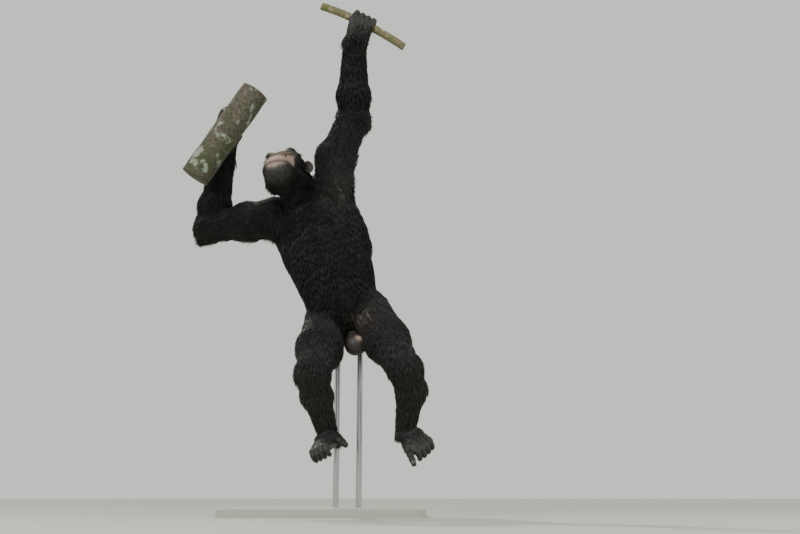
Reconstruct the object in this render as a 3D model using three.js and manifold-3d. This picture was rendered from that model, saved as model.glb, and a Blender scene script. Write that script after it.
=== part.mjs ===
// A life-size adult male chimpanzee that hangs from a vine by its left hand and holds a leaning trunk with
// its right, carried on a plain display stand. Millimetres, +Z up. The animal faces -Y and its left side is
// towards +X. The origin is the centre of the underside of the stand's base.
import * as THREE from "three";
import { mergeVertices } from "three/addons/utils/BufferGeometryUtils.js";
import Module from "manifold-3d";

const wasm = await Module();
wasm.setup();

// Vectors and frames
const vec = (x, y, z) => new THREE.Vector3(x, y, z);
const along = (a, b, share) => a.clone().lerp(b, share);
const towards = (a, b) => b.clone().sub(a).normalize();
const degrees = THREE.MathUtils.degToRad;

// A frame of the body: yaw turns the front towards the animal's right, pitch lifts it, roll lifts its left.
class Frame {
  constructor(origin, up, yaw) {
    this.origin = origin;
    this.up = up.clone().normalize();
    const level = vec(-Math.sin(degrees(yaw)), -Math.cos(degrees(yaw)), 0);
    this.left = this.up.clone().cross(level).normalize();
    this.front = this.left.clone().cross(this.up);
  }
  turned(pitch, roll) {
    const nod = new THREE.Quaternion().setFromAxisAngle(this.left, degrees(-pitch));
    this.up.applyQuaternion(nod);
    this.front.applyQuaternion(nod);
    const tip = new THREE.Quaternion().setFromAxisAngle(this.front, degrees(roll));
    this.up.applyQuaternion(tip);
    this.left.applyQuaternion(tip);
    return this;
  }
  way(left, front, up) {
    return this.left.clone().multiplyScalar(left)
      .addScaledVector(this.front, front).addScaledVector(this.up, up);
  }
  at(left, front, up) {
    return this.way(left, front, up).add(this.origin);
  }
}

// Driving sizes: the places of the joints, which set the pose
const PELVIS = new Frame(vec(60, 5, 655), vec(-0.27, 0.08, 1), 8);
const CHEST = new Frame(vec(-62, 55, 1046), vec(-0.28, 0.1, 1), 22);
const HEAD = new Frame(vec(-150, -42, 1151), vec(0, 0, 1), 17).turned(21, 11);
const HIP = { left: PELVIS.at(75, 0, 0), right: PELVIS.at(-75, 0, 0) };
const KNEE = { left: vec(256, -135, 460), right: vec(-38, -172, 440) };
const ANKLE = { left: vec(256, -20, 276), right: vec(6, -50, 260) };
const SHOULDER = { left: CHEST.at(98, 45, 29), right: CHEST.at(-129, 20, 23) };
const ELBOW = { left: vec(73, -9, 1370), right: vec(-452, 182, 1027) };
const WRIST = { left: vec(80, -118, 1608), right: vec(-408, 132, 1266) };
const FOOT_WAY = { left: vec(0.6, -0.53, -0.6).normalize(), right: vec(-0.25, -0.84, -0.45).normalize() };

// Driving sizes of the perches, the coat and the stand
const VINE = { through: vec(108, -96, 1694), way: vec(0.88, 0, -0.475).normalize(), radius: 14, half: 165, bow: 5e-4 };
const TRUNK = { through: vec(-384, 22, 1322), way: vec(0.532, 0, 0.847).normalize(), radius: 52, half: 190, bow: 0 };
const CORE = 6;
const LOCK = { lift: 7.5, root: -4, thick: 4, wide: 12, length: 62 };
const GAP = 0.3;
const BASE = { length: 640, width: 460, thick: 28, corner: 40 };
const ROD = { radius: 10, apart: 76, sink: 0 };

// Distance functions of flesh, and their smooth union
const clamp01 = (t) => Math.min(1, Math.max(0, t));
const ramp = (low, high, x) => {
  const t = clamp01((x - low) / (high - low));
  return t * t * (3 - 2 * t);
};
function blendedMin(a, b, width) {
  const share = Math.max(width - Math.abs(a - b), 0) / width;
  return Math.min(a, b) - (share * share * width) / 4;
}
// A bar of flesh from a to b whose radius runs from ra to rb
function bar(a, b, ra, rb, width = 26) {
  const line = b.clone().sub(a);
  const square = line.lengthSq();
  const distance = (p) => {
    const x = p.x - a.x;
    const y = p.y - a.y;
    const z = p.z - a.z;
    const t = clamp01((x * line.x + y * line.y + z * line.z) / square);
    return Math.hypot(x - line.x * t, y - line.y * t, z - line.z * t) - (ra + (rb - ra) * t);
  };
  return { distance, width };
}
// An ellipsoid of flesh, its radii along a frame's left, front and up
function ball(frame, place, radii, width = 26) {
  const centre = frame.at(...place);
  const [rl, rf, ru] = radii;
  const distance = (p) => {
    const q = p.clone().sub(centre);
    const l = q.dot(frame.left);
    const f = q.dot(frame.front);
    const u = q.dot(frame.up);
    const near = Math.hypot(l / rl, f / rf, u / ru);
    const far = Math.hypot(l / (rl * rl), f / (rf * rf), u / (ru * ru));
    return far > 1e-9 ? (near * (near - 1)) / far : -Math.min(rl, rf, ru);
  };
  return { distance, width };
}
// The same form with its flesh taken away instead of added
const hollow = (form) => ({ ...form, taken: true });
function fieldOf(forms) {
  return (p) => {
    let total = Infinity;
    for (const form of forms) {
      const d = form.distance(p);
      if (total === Infinity) total = d;
      else if (form.taken) total = -blendedMin(-total, d, form.width);
      else total = blendedMin(total, d, form.width);
    }
    return total;
  };
}

const SIDES = ["left", "right"];
const sign = { left: 1, right: -1 };

// Trunk of the body: rib cage, belly, pelvis, and the muscles that run to the raised arms
const TORSO_FORMS = [
  ball(CHEST, [2, 0, -128], [151, 112, 160]),
  ball(CHEST, [0, 4, -52], [132, 98, 104]),
  ball(PELVIS, [-2, 12, 128], [122, 108, 140], 80),
  ball(PELVIS, [-2, 0, 18], [106, 92, 90], 60),
  bar(CHEST.at(104, -12, -170), SHOULDER.left, 44, 58),
  bar(CHEST.at(-104, -22, -150), SHOULDER.right, 44, 56),
  bar(CHEST.at(48, 62, -72), along(SHOULDER.left, ELBOW.left, 0.12), 44, 46),
  bar(CHEST.at(-52, 58, -72), along(SHOULDER.right, ELBOW.right, 0.12), 44, 46),
  bar(CHEST.at(60, -62, -66), SHOULDER.left, 46, 50),
  bar(CHEST.at(-66, -62, -62), SHOULDER.right, 46, 50),
  bar(CHEST.at(0, -45, -60), CHEST.at(-14, 10, 62), 60, 56),
];
const NECK_FORMS = [
  bar(CHEST.at(-8, -12, 34), HEAD.at(0, -26, -4), 74, 58),
  bar(CHEST.at(-10, 38, 20), HEAD.at(0, 18, -46), 50, 38),
];

// Limbs
const ARM_BOW = { left: vec(-18, 0, -4), right: vec(0, 0, 0) };
function armForms(side) {
  const [s, e, w] = [SHOULDER[side], ELBOW[side], WRIST[side]];
  const middle = along(s, e, 0.42).add(ARM_BOW[side]);
  return [
    bar(s, middle, 66, 60),
    bar(middle, e, 59, 46),
    bar(e, along(e, w, 0.32), 47, 48),
    bar(along(e, w, 0.32), w, 48, 33),
  ];
}
const OLECRANON = {
  left: bar(ELBOW.left.clone().add(vec(24, 22, -6)), ELBOW.left.clone().add(vec(10, 8, 30)), 24, 30),
  right: bar(ELBOW.right.clone().add(vec(-24, 14, -18)), ELBOW.right.clone().add(vec(-4, 2, 24)), 26, 32),
};
const CALF_BOW = { left: vec(18, 0, 0), right: vec(-5, 0, 0) };
function legForms(side) {
  const [h, k, a] = [HIP[side], KNEE[side], ANKLE[side]];
  const back = PELVIS.way(0, -1, 0);
  const calf = along(k, a, 0.32).addScaledVector(back, 8).add(CALF_BOW[side]);
  return [
    bar(h, along(h, k, 0.5), 68, 67),
    bar(along(h, k, 0.5), k, 67, 47),
    bar(PELVIS.at(sign[side] * 52, -42, -6), along(h, k, 0.4).addScaledVector(back, 22), 58, 48),
    bar(k, calf, 47, 43),
    bar(calf, a, 43, 28),
  ];
}
const ARM_FORMS = {};
const LEG_FORMS = {};
for (const side of SIDES) {
  ARM_FORMS[side] = [...armForms(side), OLECRANON[side]];
  LEG_FORMS[side] = legForms(side);
}

// Head, in its own frame, whose origin is midway between the ears
const EYE = { left: 30, front: 60, up: 15, radius: 12.5 };
const eyeAt = (side, front = EYE.front) => HEAD.at(sign[side] * EYE.left, front, EYE.up);
function headForms() {
  const forms = [
    ball(HEAD, [0, -8, 24], [61, 74, 51], 14),
    ball(HEAD, [0, -32, 2], [58, 52, 54], 14),
    ball(HEAD, [0, 34, -10], [58, 46, 58], 16),
    bar(HEAD.at(0, 46, -36), HEAD.at(0, 88, -48), 46, 36, 16),
    ball(HEAD, [0, 90, -46], [42, 40, 31], 14),
    ball(HEAD, [0, 108, -41], [35, 19, 19], 10),
    ball(HEAD, [0, 97, -70], [32, 24, 21], 9),
    bar(HEAD.at(0, 20, -52), HEAD.at(0, 86, -74), 40, 26, 18),
    bar(HEAD.at(0, 62, 16), HEAD.at(0, 90, -16), 13, 12, 12),
    ball(HEAD, [0, 94, -20], [18, 13, 9], 8),
  ];
  for (const side of SIDES) {
    const s = sign[side];
    forms.push(bar(HEAD.at(s * 6, 68, 30), HEAD.at(s * 34, 66, 33), 10, 10.5, 10));
    forms.push(bar(HEAD.at(s * 34, 66, 33), HEAD.at(s * 54, 50, 22), 10.5, 9, 10));
    forms.push(bar(HEAD.at(s * 46, 56, -6), HEAD.at(s * 60, 22, 0), 15, 11, 14));
    forms.push(bar(HEAD.at(s * 46, 6, -48), HEAD.at(s * 26, 76, -62), 20, 20, 16));
  }
  for (const side of SIDES) {
    forms.push(hollow(ball(HEAD, [sign[side] * EYE.left, 78, EYE.up], [17, 14, 11], 9)));
  }
  return forms;
}
const HEAD_FORMS = headForms();

// How deep the coat lies: none on the face, hands and feet, the full depth over the body
const MIDHAND = { left: vec(92, -124, 1690), right: vec(-372, 112, 1340) };
const MIDFOOT = { left: vec(278, -105, 205), right: vec(-14, -130, 195) };
const BARE = [
  [HEAD.at(0, 92, -18), 74, 104],
  [MIDHAND.left, 78, 128],
  [MIDHAND.right, 78, 128],
  [MIDFOOT.left, 74, 118],
  [MIDFOOT.right, 74, 118],
];
function coatDepth(p) {
  let share = 1;
  for (const [centre, bare, full] of BARE) share *= ramp(bare, full, p.distanceTo(centre));
  return CORE * share;
}
const coated = (forms) => {
  const field = fieldOf(forms);
  return (p) => field(p) - coatDepth(p);
};

// The flat cuts that part the body into its nodes. Each normal points away from the trunk.
const plane = (point, normal) => ({ point, normal: normal.clone().normalize() });
const flipped = (cut) => ({ point: cut.point, normal: cut.normal.clone().negate() });
const height = (cut, p) => p.clone().sub(cut.point).dot(cut.normal);
const NOTCH = plane(vec(-54, 0, 1150), vec(1, 0, 0.12));
const NECK_ROOT = plane(vec(-90, 18, 1098), vec(-0.25, -0.42, 0.87));
const HEAD_ROOT = plane(HEAD.at(0, -22, -46), HEAD.way(0, 0.62, 0.78));
const ARM_ROOT = {
  left: plane(vec(26, -12, 1138), vec(0.1, 0, 1)),
  right: plane(vec(-202, 90, 1015), vec(-0.93, 0.33, 0.12)),
};
const bend = (a, b, c) => plane(b, towards(a, b).add(towards(b, c)));
const ELBOW_CUT = { left: bend(SHOULDER.left, ELBOW.left, WRIST.left), right: bend(SHOULDER.right, ELBOW.right, WRIST.right) };
const WRIST_CUT = { left: plane(WRIST.left, towards(ELBOW.left, WRIST.left)), right: plane(WRIST.right, towards(ELBOW.right, WRIST.right)) };
const LEG_ROOT = {
  left: plane(vec(140, -35, 642), vec(0.55, -0.35, -0.75)),
  right: plane(vec(-10, -18, 602), vec(-0.35, -0.45, -0.82)),
};
const KNEE_CUT = { left: bend(HIP.left, KNEE.left, ANKLE.left), right: bend(HIP.right, KNEE.right, ANKLE.right) };
// The foot points forward from the ankle, so its cut lies halfway between the shank and the foot
const ankleCut = (side) => plane(ANKLE[side], towards(KNEE[side], ANKLE[side]).add(FOOT_WAY[side]));
const ANKLE_CUT = { left: ankleCut("left"), right: ankleCut("right") };
const MIDLINE = plane(PELVIS.at(2, 0, -60), PELVIS.left);
const WAIST = plane(PELVIS.at(0, 0, 92), PELVIS.up);
const RIBS = plane(CHEST.at(0, 0, -176), CHEST.up);

// Solids
const REACH = 260;
const FINE = 0.4;
// The distance from start along way at which the field is left, or REACH
function exit(field, start, way, reach = REACH) {
  const p = vec(0, 0, 0);
  const value = (t) => field(p.copy(start).addScaledVector(way, t));
  let t = 0;
  let inner = 0;
  while (t < reach) {
    const d = value(t);
    if (d > 0) break;
    inner = t;
    t += Math.max(-d * 0.6, FINE);
  }
  let outer = Math.min(t, reach);
  for (let i = 0; i < 12; i += 1) {
    const middle = (inner + outer) / 2;
    if (value(middle) > 0) outer = middle;
    else inner = middle;
  }
  return Math.max(inner, FINE);
}
function solidOf(geometry) {
  const bare = new THREE.BufferGeometry().setAttribute("position", geometry.getAttribute("position"));
  if (geometry.index) bare.setIndex(geometry.index);
  const merged = mergeVertices(bare, 1e-4);
  return new wasm.Manifold(new wasm.Mesh({
    numProp: 3,
    vertProperties: new Float32Array(merged.attributes.position.array),
    triVerts: new Uint32Array(merged.index.array),
  }));
}
function geometryOf(solid) {
  const mesh = solid.getMesh();
  return new THREE.BufferGeometry()
    .setAttribute("position", new THREE.BufferAttribute(Float32Array.from(mesh.vertProperties), 3))
    .setIndex(new THREE.BufferAttribute(Uint32Array.from(mesh.triVerts), 1));
}
const largest = (solid) => solid.decompose().sort((a, b) => b.volume() - a.volume())[0];
const placed = (geometry, matrix) => solidOf(geometry.clone().applyMatrix4(matrix));

// A solid whose surface is met once by each ray from its centre. detail is the icosahedron's, and lean
// crowds the rays towards one way.
function star(centre, detail, field, lean = vec(0, 0, 0)) {
  const geometry = new THREE.IcosahedronGeometry(1, detail);
  const position = geometry.getAttribute("position");
  const merged = new THREE.BufferGeometry().setAttribute("position", position);
  const ball3 = mergeVertices(merged, 1e-4);
  const place = ball3.getAttribute("position");
  for (let i = 0; i < place.count; i += 1) {
    const way = vec(place.getX(i), place.getY(i), place.getZ(i)).normalize().add(lean).normalize();
    const end = way.clone().multiplyScalar(exit(field, centre, way)).add(centre);
    place.setXYZ(i, end.x, end.y, end.z);
  }
  return solidOf(ball3);
}
// Everything beyond a cut, as a box to take away
const BEYOND = 900;
function beyond(cuts, gap = GAP / 2) {
  return cuts.map((cut) => {
    const turn = new THREE.Quaternion().setFromUnitVectors(vec(0, 0, 1), cut.normal);
    const centre = cut.point.clone().addScaledVector(cut.normal, BEYOND / 2 - gap);
    return placed(new THREE.BoxGeometry(BEYOND, BEYOND, BEYOND),
      new THREE.Matrix4().compose(centre, turn, vec(1, 1, 1)));
  }).reduce((a, b) => a.intersect(b));
}
// The field kept out of the space beyond some cuts, but for a margin that the trimming takes away
const MARGIN = 28;
const withStubs = (field, cutGroups) => (p) => {
  let d = field(p);
  for (const cuts of cutGroups) {
    d = Math.max(d, Math.min(...cuts.map((cut) => height(cut, p))) - MARGIN);
  }
  return d;
};
function trunkNode(centre, detail, field, cutGroups) {
  let solid = star(centre, detail, withStubs(field, cutGroups));
  for (const cuts of cutGroups) solid = solid.subtract(beyond(cuts));
  return largest(solid);
}

// Rings along a bone, each found by rays in its own plane, closed at both ends
function rings(stations, sides, aim, field, reach) {
  const points = [];
  for (const { centre, normal } of stations) {
    const across = aim.clone().addScaledVector(normal, -aim.dot(normal)).normalize();
    const other = normal.clone().cross(across);
    points.push(centre);
    for (let i = 0; i < sides; i += 1) {
      const angle = (2 * Math.PI * i) / sides;
      const way = across.clone().multiplyScalar(Math.cos(angle)).addScaledVector(other, Math.sin(angle));
      points.push(way.clone().multiplyScalar(exit(field, centre, way, reach)).add(centre));
    }
  }
  return closedRings(points, stations.length, sides);
}
// points holds, for each ring, its centre and then its rim
function closedRings(points, count, sides) {
  const index = [];
  const step = sides + 1;
  for (let r = 0; r + 1 < count; r += 1) {
    for (let i = 0; i < sides; i += 1) {
      const a = r * step + 1 + i;
      const b = r * step + 1 + ((i + 1) % sides);
      index.push(a, b, b + step, a, b + step, a + step);
    }
  }
  const last = (count - 1) * step;
  for (let i = 0; i < sides; i += 1) {
    const next = (i + 1) % sides;
    index.push(0, 1 + next, 1 + i, last, last + 1 + i, last + 1 + next);
  }
  const used = new Float32Array(points.flatMap((p) => p.toArray()));
  const geometry = new THREE.BufferGeometry().setAttribute("position", new THREE.BufferAttribute(used, 3));
  return geometry.setIndex(index);
}
// Stations from one cut to another along the bone between them, the planes turning on the way
function stationsBetween(from, to, count) {
  const line = towards(from.point, to.point);
  const stations = [];
  for (let i = 0; i < count; i += 1) {
    const t = i / (count - 1);
    const inset = i === 0 ? GAP / 2 : i === count - 1 ? -GAP / 2 : 0;
    const end = t < 0.5 ? from.normal : to.normal;
    const share = ramp(0, 0.5, Math.min(t, 1 - t));
    const normal = end.clone().lerp(line, share).normalize();
    stations.push({ centre: along(from.point, to.point, t).addScaledVector(end, inset), normal });
  }
  return stations;
}
function limb(from, to, count, sides, aim, field) {
  return rings(stationsBetween(from, to, count), sides, aim, field, 150);
}

// A tube along a path, its radii given at each point, closed at both ends
function tube(path, radii, sides, aim, reachOut = 1) {
  const points = [];
  let across = aim.clone();
  path.forEach((centre, i) => {
    const normal = towards(path[Math.max(i - 1, 0)], path[Math.min(i + 1, path.length - 1)]);
    across = across.addScaledVector(normal, -across.dot(normal)).normalize();
    const other = normal.clone().cross(across);
    points.push(centre);
    for (let k = 0; k < sides; k += 1) {
      const angle = (2 * Math.PI * k) / sides;
      points.push(centre.clone().addScaledVector(across, radii[i] * Math.cos(angle) * reachOut)
        .addScaledVector(other, radii[i] * Math.sin(angle)));
    }
    across = across.clone();
  });
  return closedRings(points, path.length, sides);
}
// The share t of an arc that starts along way and curls towards another way, angles in degrees
function curl(start, way, toward, length, from, to) {
  const [a, b] = [degrees(from), degrees(to)];
  const radius = length / (b - a);
  return (t) => {
    const angle = a + (b - a) * t;
    return start.clone().addScaledVector(way, radius * (Math.sin(angle) - Math.sin(a)))
      .addScaledVector(toward, radius * (Math.cos(a) - Math.cos(angle)));
  };
}

const part = new THREE.Group();
const HAIR = new THREE.MeshStandardMaterial({ color: 0x14120f, roughness: 0.72, metalness: 0 });
const BARE_SKIN = new THREE.MeshStandardMaterial({ color: 0x2b2523, roughness: 0.6, metalness: 0 });
const FACE_SKIN = new THREE.MeshStandardMaterial({ color: 0x6a4c40, roughness: 0.55, metalness: 0 });
const PALE_SKIN = new THREE.MeshStandardMaterial({ color: 0x4a3630, roughness: 0.6, metalness: 0 });
const EYE_LENS = new THREE.MeshStandardMaterial({ color: 0x2a140a, roughness: 0.12, metalness: 0 });
const BARK = new THREE.MeshStandardMaterial({ color: 0x6d6450, roughness: 0.95, metalness: 0 });
const STEEL = new THREE.MeshStandardMaterial({ color: 0x9a9c9e, roughness: 0.35, metalness: 0.9 });
const BOARD = new THREE.MeshStandardMaterial({ color: 0xb7b2a8, roughness: 0.7, metalness: 0 });
function add(name, shape, material) {
  const mesh = new THREE.Mesh(shape.isBufferGeometry ? shape : geometryOf(shape), material);
  mesh.name = name;
  part.add(mesh);
  return mesh;
}

// The outward way of a field at a place
function outward(field, p) {
  const reach = 1.5;
  const grow = (axis) => field(p.clone().addScaledVector(axis, reach)) - field(p.clone().addScaledVector(axis, -reach));
  return vec(grow(vec(1, 0, 0)), grow(vec(0, 1, 0)), grow(vec(0, 0, 1))).normalize();
}
// A flat tapered lock that is rooted in the flesh and lies along the coat, its height above the core set on
// the way. It is null where it would cross one of the node's own cuts.
function lock(root, flow, field, length, stands, cuts) {
  const steps = [[0, LOCK.root, 0.85], [0.3, 2.2, 1], [0.66, 0.7 * stands, 0.72], [1, stands, 0]];
  const first = outward(field, root);
  const lie = flow.clone().addScaledVector(first, -flow.dot(first)).normalize();
  const points = [];
  for (const [share, lift, width] of steps) {
    const spot = root.clone().addScaledVector(lie, length * share);
    for (let i = 0; i < 3; i += 1) spot.addScaledVector(outward(field, spot), lift - field(spot));
    const out = outward(field, spot);
    const across = lie.clone().cross(out).normalize();
    if (cuts.some((group) => Math.min(...group.map((cut) => height(cut, spot))) > -LOCK.wide)) return null;
    if (width === 0) points.push(spot);
    else {
      points.push(spot.clone().addScaledVector(across, LOCK.wide * width));
      points.push(spot.clone().addScaledVector(out, LOCK.thick * width));
      points.push(spot.clone().addScaledVector(across, -LOCK.wide * width));
    }
  }
  const index = [0, 2, 1];
  for (const r of [0, 3]) {
    for (let k = 0; k < 3; k += 1) {
      const [a, b] = [r + k, r + ((k + 1) % 3)];
      index.push(a, b, b + 3, a, b + 3, a + 3);
    }
  }
  index.push(6, 7, 9, 7, 8, 9, 8, 6, 9);
  const geometry = new THREE.BufferGeometry()
    .setAttribute("position", new THREE.BufferAttribute(new Float32Array(points.flatMap((p) => p.toArray())), 3))
    .setIndex(index);
  const solid = solidOf(geometry);
  return solid.volume() > 0 ? solid : solidOf(reversed(geometry));
}
function reversed(geometry) {
  const index = geometry.index.array.slice();
  for (let i = 0; i < index.length; i += 3) [index[i], index[i + 1]] = [index[i + 1], index[i]];
  return geometry.setIndex(new THREE.BufferAttribute(index, 1));
}
// Rows of locks round a bone, each row turned half a step from the one before
function addWithLocks(name, core, { bone, rows, around, aim, field, flow, cuts, stands = LOCK.lift, length = LOCK.length }) {
  const [from, to] = bone;
  const axis = towards(from, to);
  const across = aim.clone().addScaledVector(axis, -aim.dot(axis)).normalize();
  const other = axis.clone().cross(across);
  let solid = core;
  for (let row = 0; row < rows; row += 1) {
    const centre = along(from, to, (row + 0.5) / rows);
    for (let k = 0; k < around; k += 1) {
      const angle = (2 * Math.PI * (k + 0.5 * (row % 2))) / around;
      const way = across.clone().multiplyScalar(Math.cos(angle)).addScaledVector(other, Math.sin(angle));
      const root = way.clone().multiplyScalar(exit(field, centre, way)).add(centre);
      const piece = lock(root, flow(root), field, length, stands, cuts);
      if (piece) solid = solid.add(piece);
    }
  }
  add(name, largest(solid), HAIR);
}

// Trunk of the body
const coreField = coated([...TORSO_FORMS, ...NECK_FORMS, ...ARM_FORMS.left, ...ARM_FORMS.right]);
const hipField = coated([...TORSO_FORMS, ...LEG_FORMS.left, ...LEG_FORMS.right]);
const ARM_SPACE = { left: [ARM_ROOT.left, NOTCH], right: [ARM_ROOT.right] };
const NECK_SPACE = [NECK_ROOT, flipped(NOTCH)];
const chestCuts = [ARM_SPACE.left, ARM_SPACE.right, NECK_SPACE, [flipped(RIBS)]];
const chest = trunkNode(CHEST.at(-10, 0, -70), 6, coreField, chestCuts);
addWithLocks("chest", chest, {
  bone: [CHEST.at(0, 0, -166), CHEST.at(0, 0, 32)], rows: 4, around: 7, aim: CHEST.front, field: coreField,
  flow: () => PELVIS.way(0, 0, -1), cuts: chestCuts,
});
const bellyCuts = [[RIBS], [flipped(WAIST)]];
addWithLocks("abdomen", trunkNode(along(WAIST.point, RIBS.point, 0.5), 5, hipField, bellyCuts), {
  bone: [WAIST.point, RIBS.point], rows: 2, around: 8, aim: PELVIS.front, field: hipField,
  flow: () => PELVIS.way(0, 0, -1), cuts: bellyCuts,
});
const PELVIS_CUTS = [[LEG_ROOT.left, MIDLINE], [LEG_ROOT.right, flipped(MIDLINE)], [WAIST]];
function pelvisSolid(grow) {
  let solid = star(PELVIS.at(0, -2, 22), 6, withStubs((p) => hipField(p) - grow, PELVIS_CUTS));
  for (const group of PELVIS_CUTS) solid = solid.subtract(beyond(group));
  return largest(solid);
}
addWithLocks("pelvis", pelvisSolid(0), {
  bone: [PELVIS.at(0, 0, -10), PELVIS.at(0, 0, 80)], rows: 2, around: 8, aim: PELVIS.front, field: hipField,
  flow: () => PELVIS.way(0, -0.25, -1), cuts: PELVIS_CUTS,
});

// Perches: a cut length of vine and one of the leaning trunk
function perch(place, sides, count, taper, grow) {
  const path = [];
  const radii = [];
  for (let i = 0; i < count; i += 1) {
    const t = i / (count - 1);
    const swell = 1 - 0.05 * (0.5 + 0.5 * Math.sin(i * 2.4)) * Math.abs(2 * t - 1);
    const s = place.half * (2 * t - 1);
    path.push(place.through.clone().addScaledVector(place.way, s).add(vec(0, 0, -place.bow * s * s)));
    radii.push(place.radius * swell * (1 - taper * Math.max(t - 0.6, 0)) + grow);
  }
  return solidOf(tube(path, radii, sides, vec(0, -1, 0)));
}
const vineSolid = (grow) => perch(VINE, 12, 9, 0.1, grow);
const trunkSolid = (grow) => perch(TRUNK, 16, 9, 0, grow);
add("perch_vine", vineSolid(0), BARK);
add("perch_trunk", trunkSolid(0), BARK);

// Neck and head
const neckField = coated([...NECK_FORMS, ...TORSO_FORMS, ...HEAD_FORMS]);
const kept = (field, cuts) => (p) => Math.max(field(p), ...cuts.map((cut) => height(cut, p) + GAP / 2));
add("neck", trunkNode(along(NECK_ROOT.point, HEAD_ROOT.point, 0.5), 4, neckField,
  [[flipped(NECK_ROOT)], [HEAD_ROOT], [NOTCH], [ARM_ROOT.right]]), HAIR);
const headField = coated([...HEAD_FORMS, ...NECK_FORMS]);
const HEAD_CENTRE = HEAD.at(0, 28, -6);
const HEAD_CUTS = [[flipped(HEAD_ROOT)], [NOTCH]];
function headSolid(grow) {
  let solid = star(HEAD_CENTRE, 8, withStubs((p) => headField(p) - grow, HEAD_CUTS), HEAD.way(0, 0.42, -0.12));
  for (const cuts of HEAD_CUTS) solid = solid.subtract(beyond(cuts, GAP / 2 - grow));
  return solid;
}
const sphere = (centre, radius, detail) =>
  placed(new THREE.IcosahedronGeometry(radius, detail), new THREE.Matrix4().setPosition(centre));
const bead = (a, b, radius) => {
  const path = [0, 0.12, 0.5, 0.88, 1].map((t) => along(a, b, t));
  return solidOf(tube(path, [0.4, 0.85, 1, 0.85, 0.4].map((share) => share * radius), 8, HEAD.up));
};
// Lids: a shell over each eyeball with an almond opening between an upper and a lower edge
const LID = 2.4;
function lids(side) {
  const centre = eyeAt(side);
  const gaze = HEAD.way(sign[side] * 0.16, 1, -0.04).normalize();
  const upper = plane(centre, gaze.clone().multiplyScalar(0.34).addScaledVector(HEAD.up, -0.94));
  const lower = plane(centre, gaze.clone().multiplyScalar(0.42).addScaledVector(HEAD.up, 0.91));
  return sphere(centre, EYE.radius + LID, 3).subtract(beyond([upper, lower], 0));
}
const eyes = {};
for (const side of SIDES) eyes[side] = sphere(eyeAt(side), EYE.radius, 1);
let head = headSolid(0);
for (const side of SIDES) {
  head = head.add(lids(side)).subtract(sphere(eyeAt(side), EYE.radius + GAP, 3));
}
// The line of the mouth, from one corner round the muzzle to the other, and the nostrils
const MOUTH = { up: -56, corner: 78, rise: 9, width: 2.6, count: 15 };
const mouthLine = [];
for (let i = 0; i < MOUTH.count; i += 1) {
  const t = (2 * i) / (MOUTH.count - 1) - 1;
  const angle = degrees(MOUTH.corner * t);
  const start = HEAD.at(0, 74, MOUTH.up + MOUTH.rise * t * t);
  const way = HEAD.way(Math.sin(angle), Math.cos(angle), 0);
  mouthLine.push(start.addScaledVector(way, exit(headField, start, way)));
}
const mouthRadii = mouthLine.map((p, i) =>
  MOUTH.width * (i === 0 || i === MOUTH.count - 1 ? 0.3 : 1));
head = head.subtract(solidOf(tube(mouthLine, mouthRadii, 6, HEAD.up)));
for (const side of SIDES) {
  const rim = HEAD.at(sign[side] * 8, 106, -21);
  head = head.subtract(bead(rim, HEAD.at(sign[side] * 6, 88, -14), 4));
}

// Ears: a cup with a rolled rim, set at the side of the head and leaning forward
const EAR = { side: 77, tall: 30, wide: 22, deep: 11, thick: 4, steps: 11 };
function ear(side) {
  const s = sign[side];
  const out = HEAD.way(s * 0.78, 0.6, 0.05).normalize();
  const up = HEAD.way(s * 0.16, -0.12, 1).normalize();
  const across = out.clone().cross(up).normalize();
  const centre = HEAD.at(s * EAR.side, -4, 12);
  const spot = (angle, share, depth) => centre.clone()
    .addScaledVector(across, EAR.wide * share * Math.cos(angle))
    .addScaledVector(up, EAR.tall * share * Math.sin(angle) * (1 - 0.1 * Math.sin(angle)))
    .addScaledVector(out, depth);
  const points = [];
  const levels = [[0.02, -EAR.deep - EAR.thick], [0.45, -EAR.deep - EAR.thick + 1], [0.8, -EAR.deep * 0.5 - EAR.thick],
    [1, -3], [1, 1], [0.9, 2.5], [0.8, -1], [0.62, -EAR.deep * 0.45], [0.42, -EAR.deep * 0.6], [0.3, -EAR.deep]];
  for (const [share, depth] of levels) {
    points.push(spot(0, 0, depth));
    for (let k = 0; k < EAR.steps; k += 1) points.push(spot((2 * Math.PI * k) / EAR.steps, share, depth));
  }
  const shell = solidOf(closedRings(points, levels.length, EAR.steps));
  return shell.volume() > 0 ? shell : solidOf(reversed(closedRings(points, levels.length, EAR.steps)));
}
const headGrown = headSolid(GAP);
// Whiskers down both cheeks and along the jaw
const WHISKERS = [[-14, 17], [-31, 18], [-50, 22]];
for (const side of SIDES) {
  for (const [turn, ahead] of WHISKERS) {
    const start = HEAD.at(0, 12 + ahead, -8);
    const way = HEAD.way(sign[side] * Math.cos(degrees(turn)), 0, Math.sin(degrees(turn)));
    const root = way.clone().multiplyScalar(exit(headField, start, way)).add(start);
    const piece = lock(root, HEAD.way(sign[side] * 0.2, -0.25, -0.95), headField, 36, 9, HEAD_CUTS);
    if (piece) head = head.add(piece);
  }
}
add("head", largest(head), FACE_SKIN);
for (const side of SIDES) {
  add("eye_" + side, eyes[side], EYE_LENS);
  add("ear_" + side, largest(ear(side).subtract(headGrown)), PALE_SKIN);
}

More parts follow.
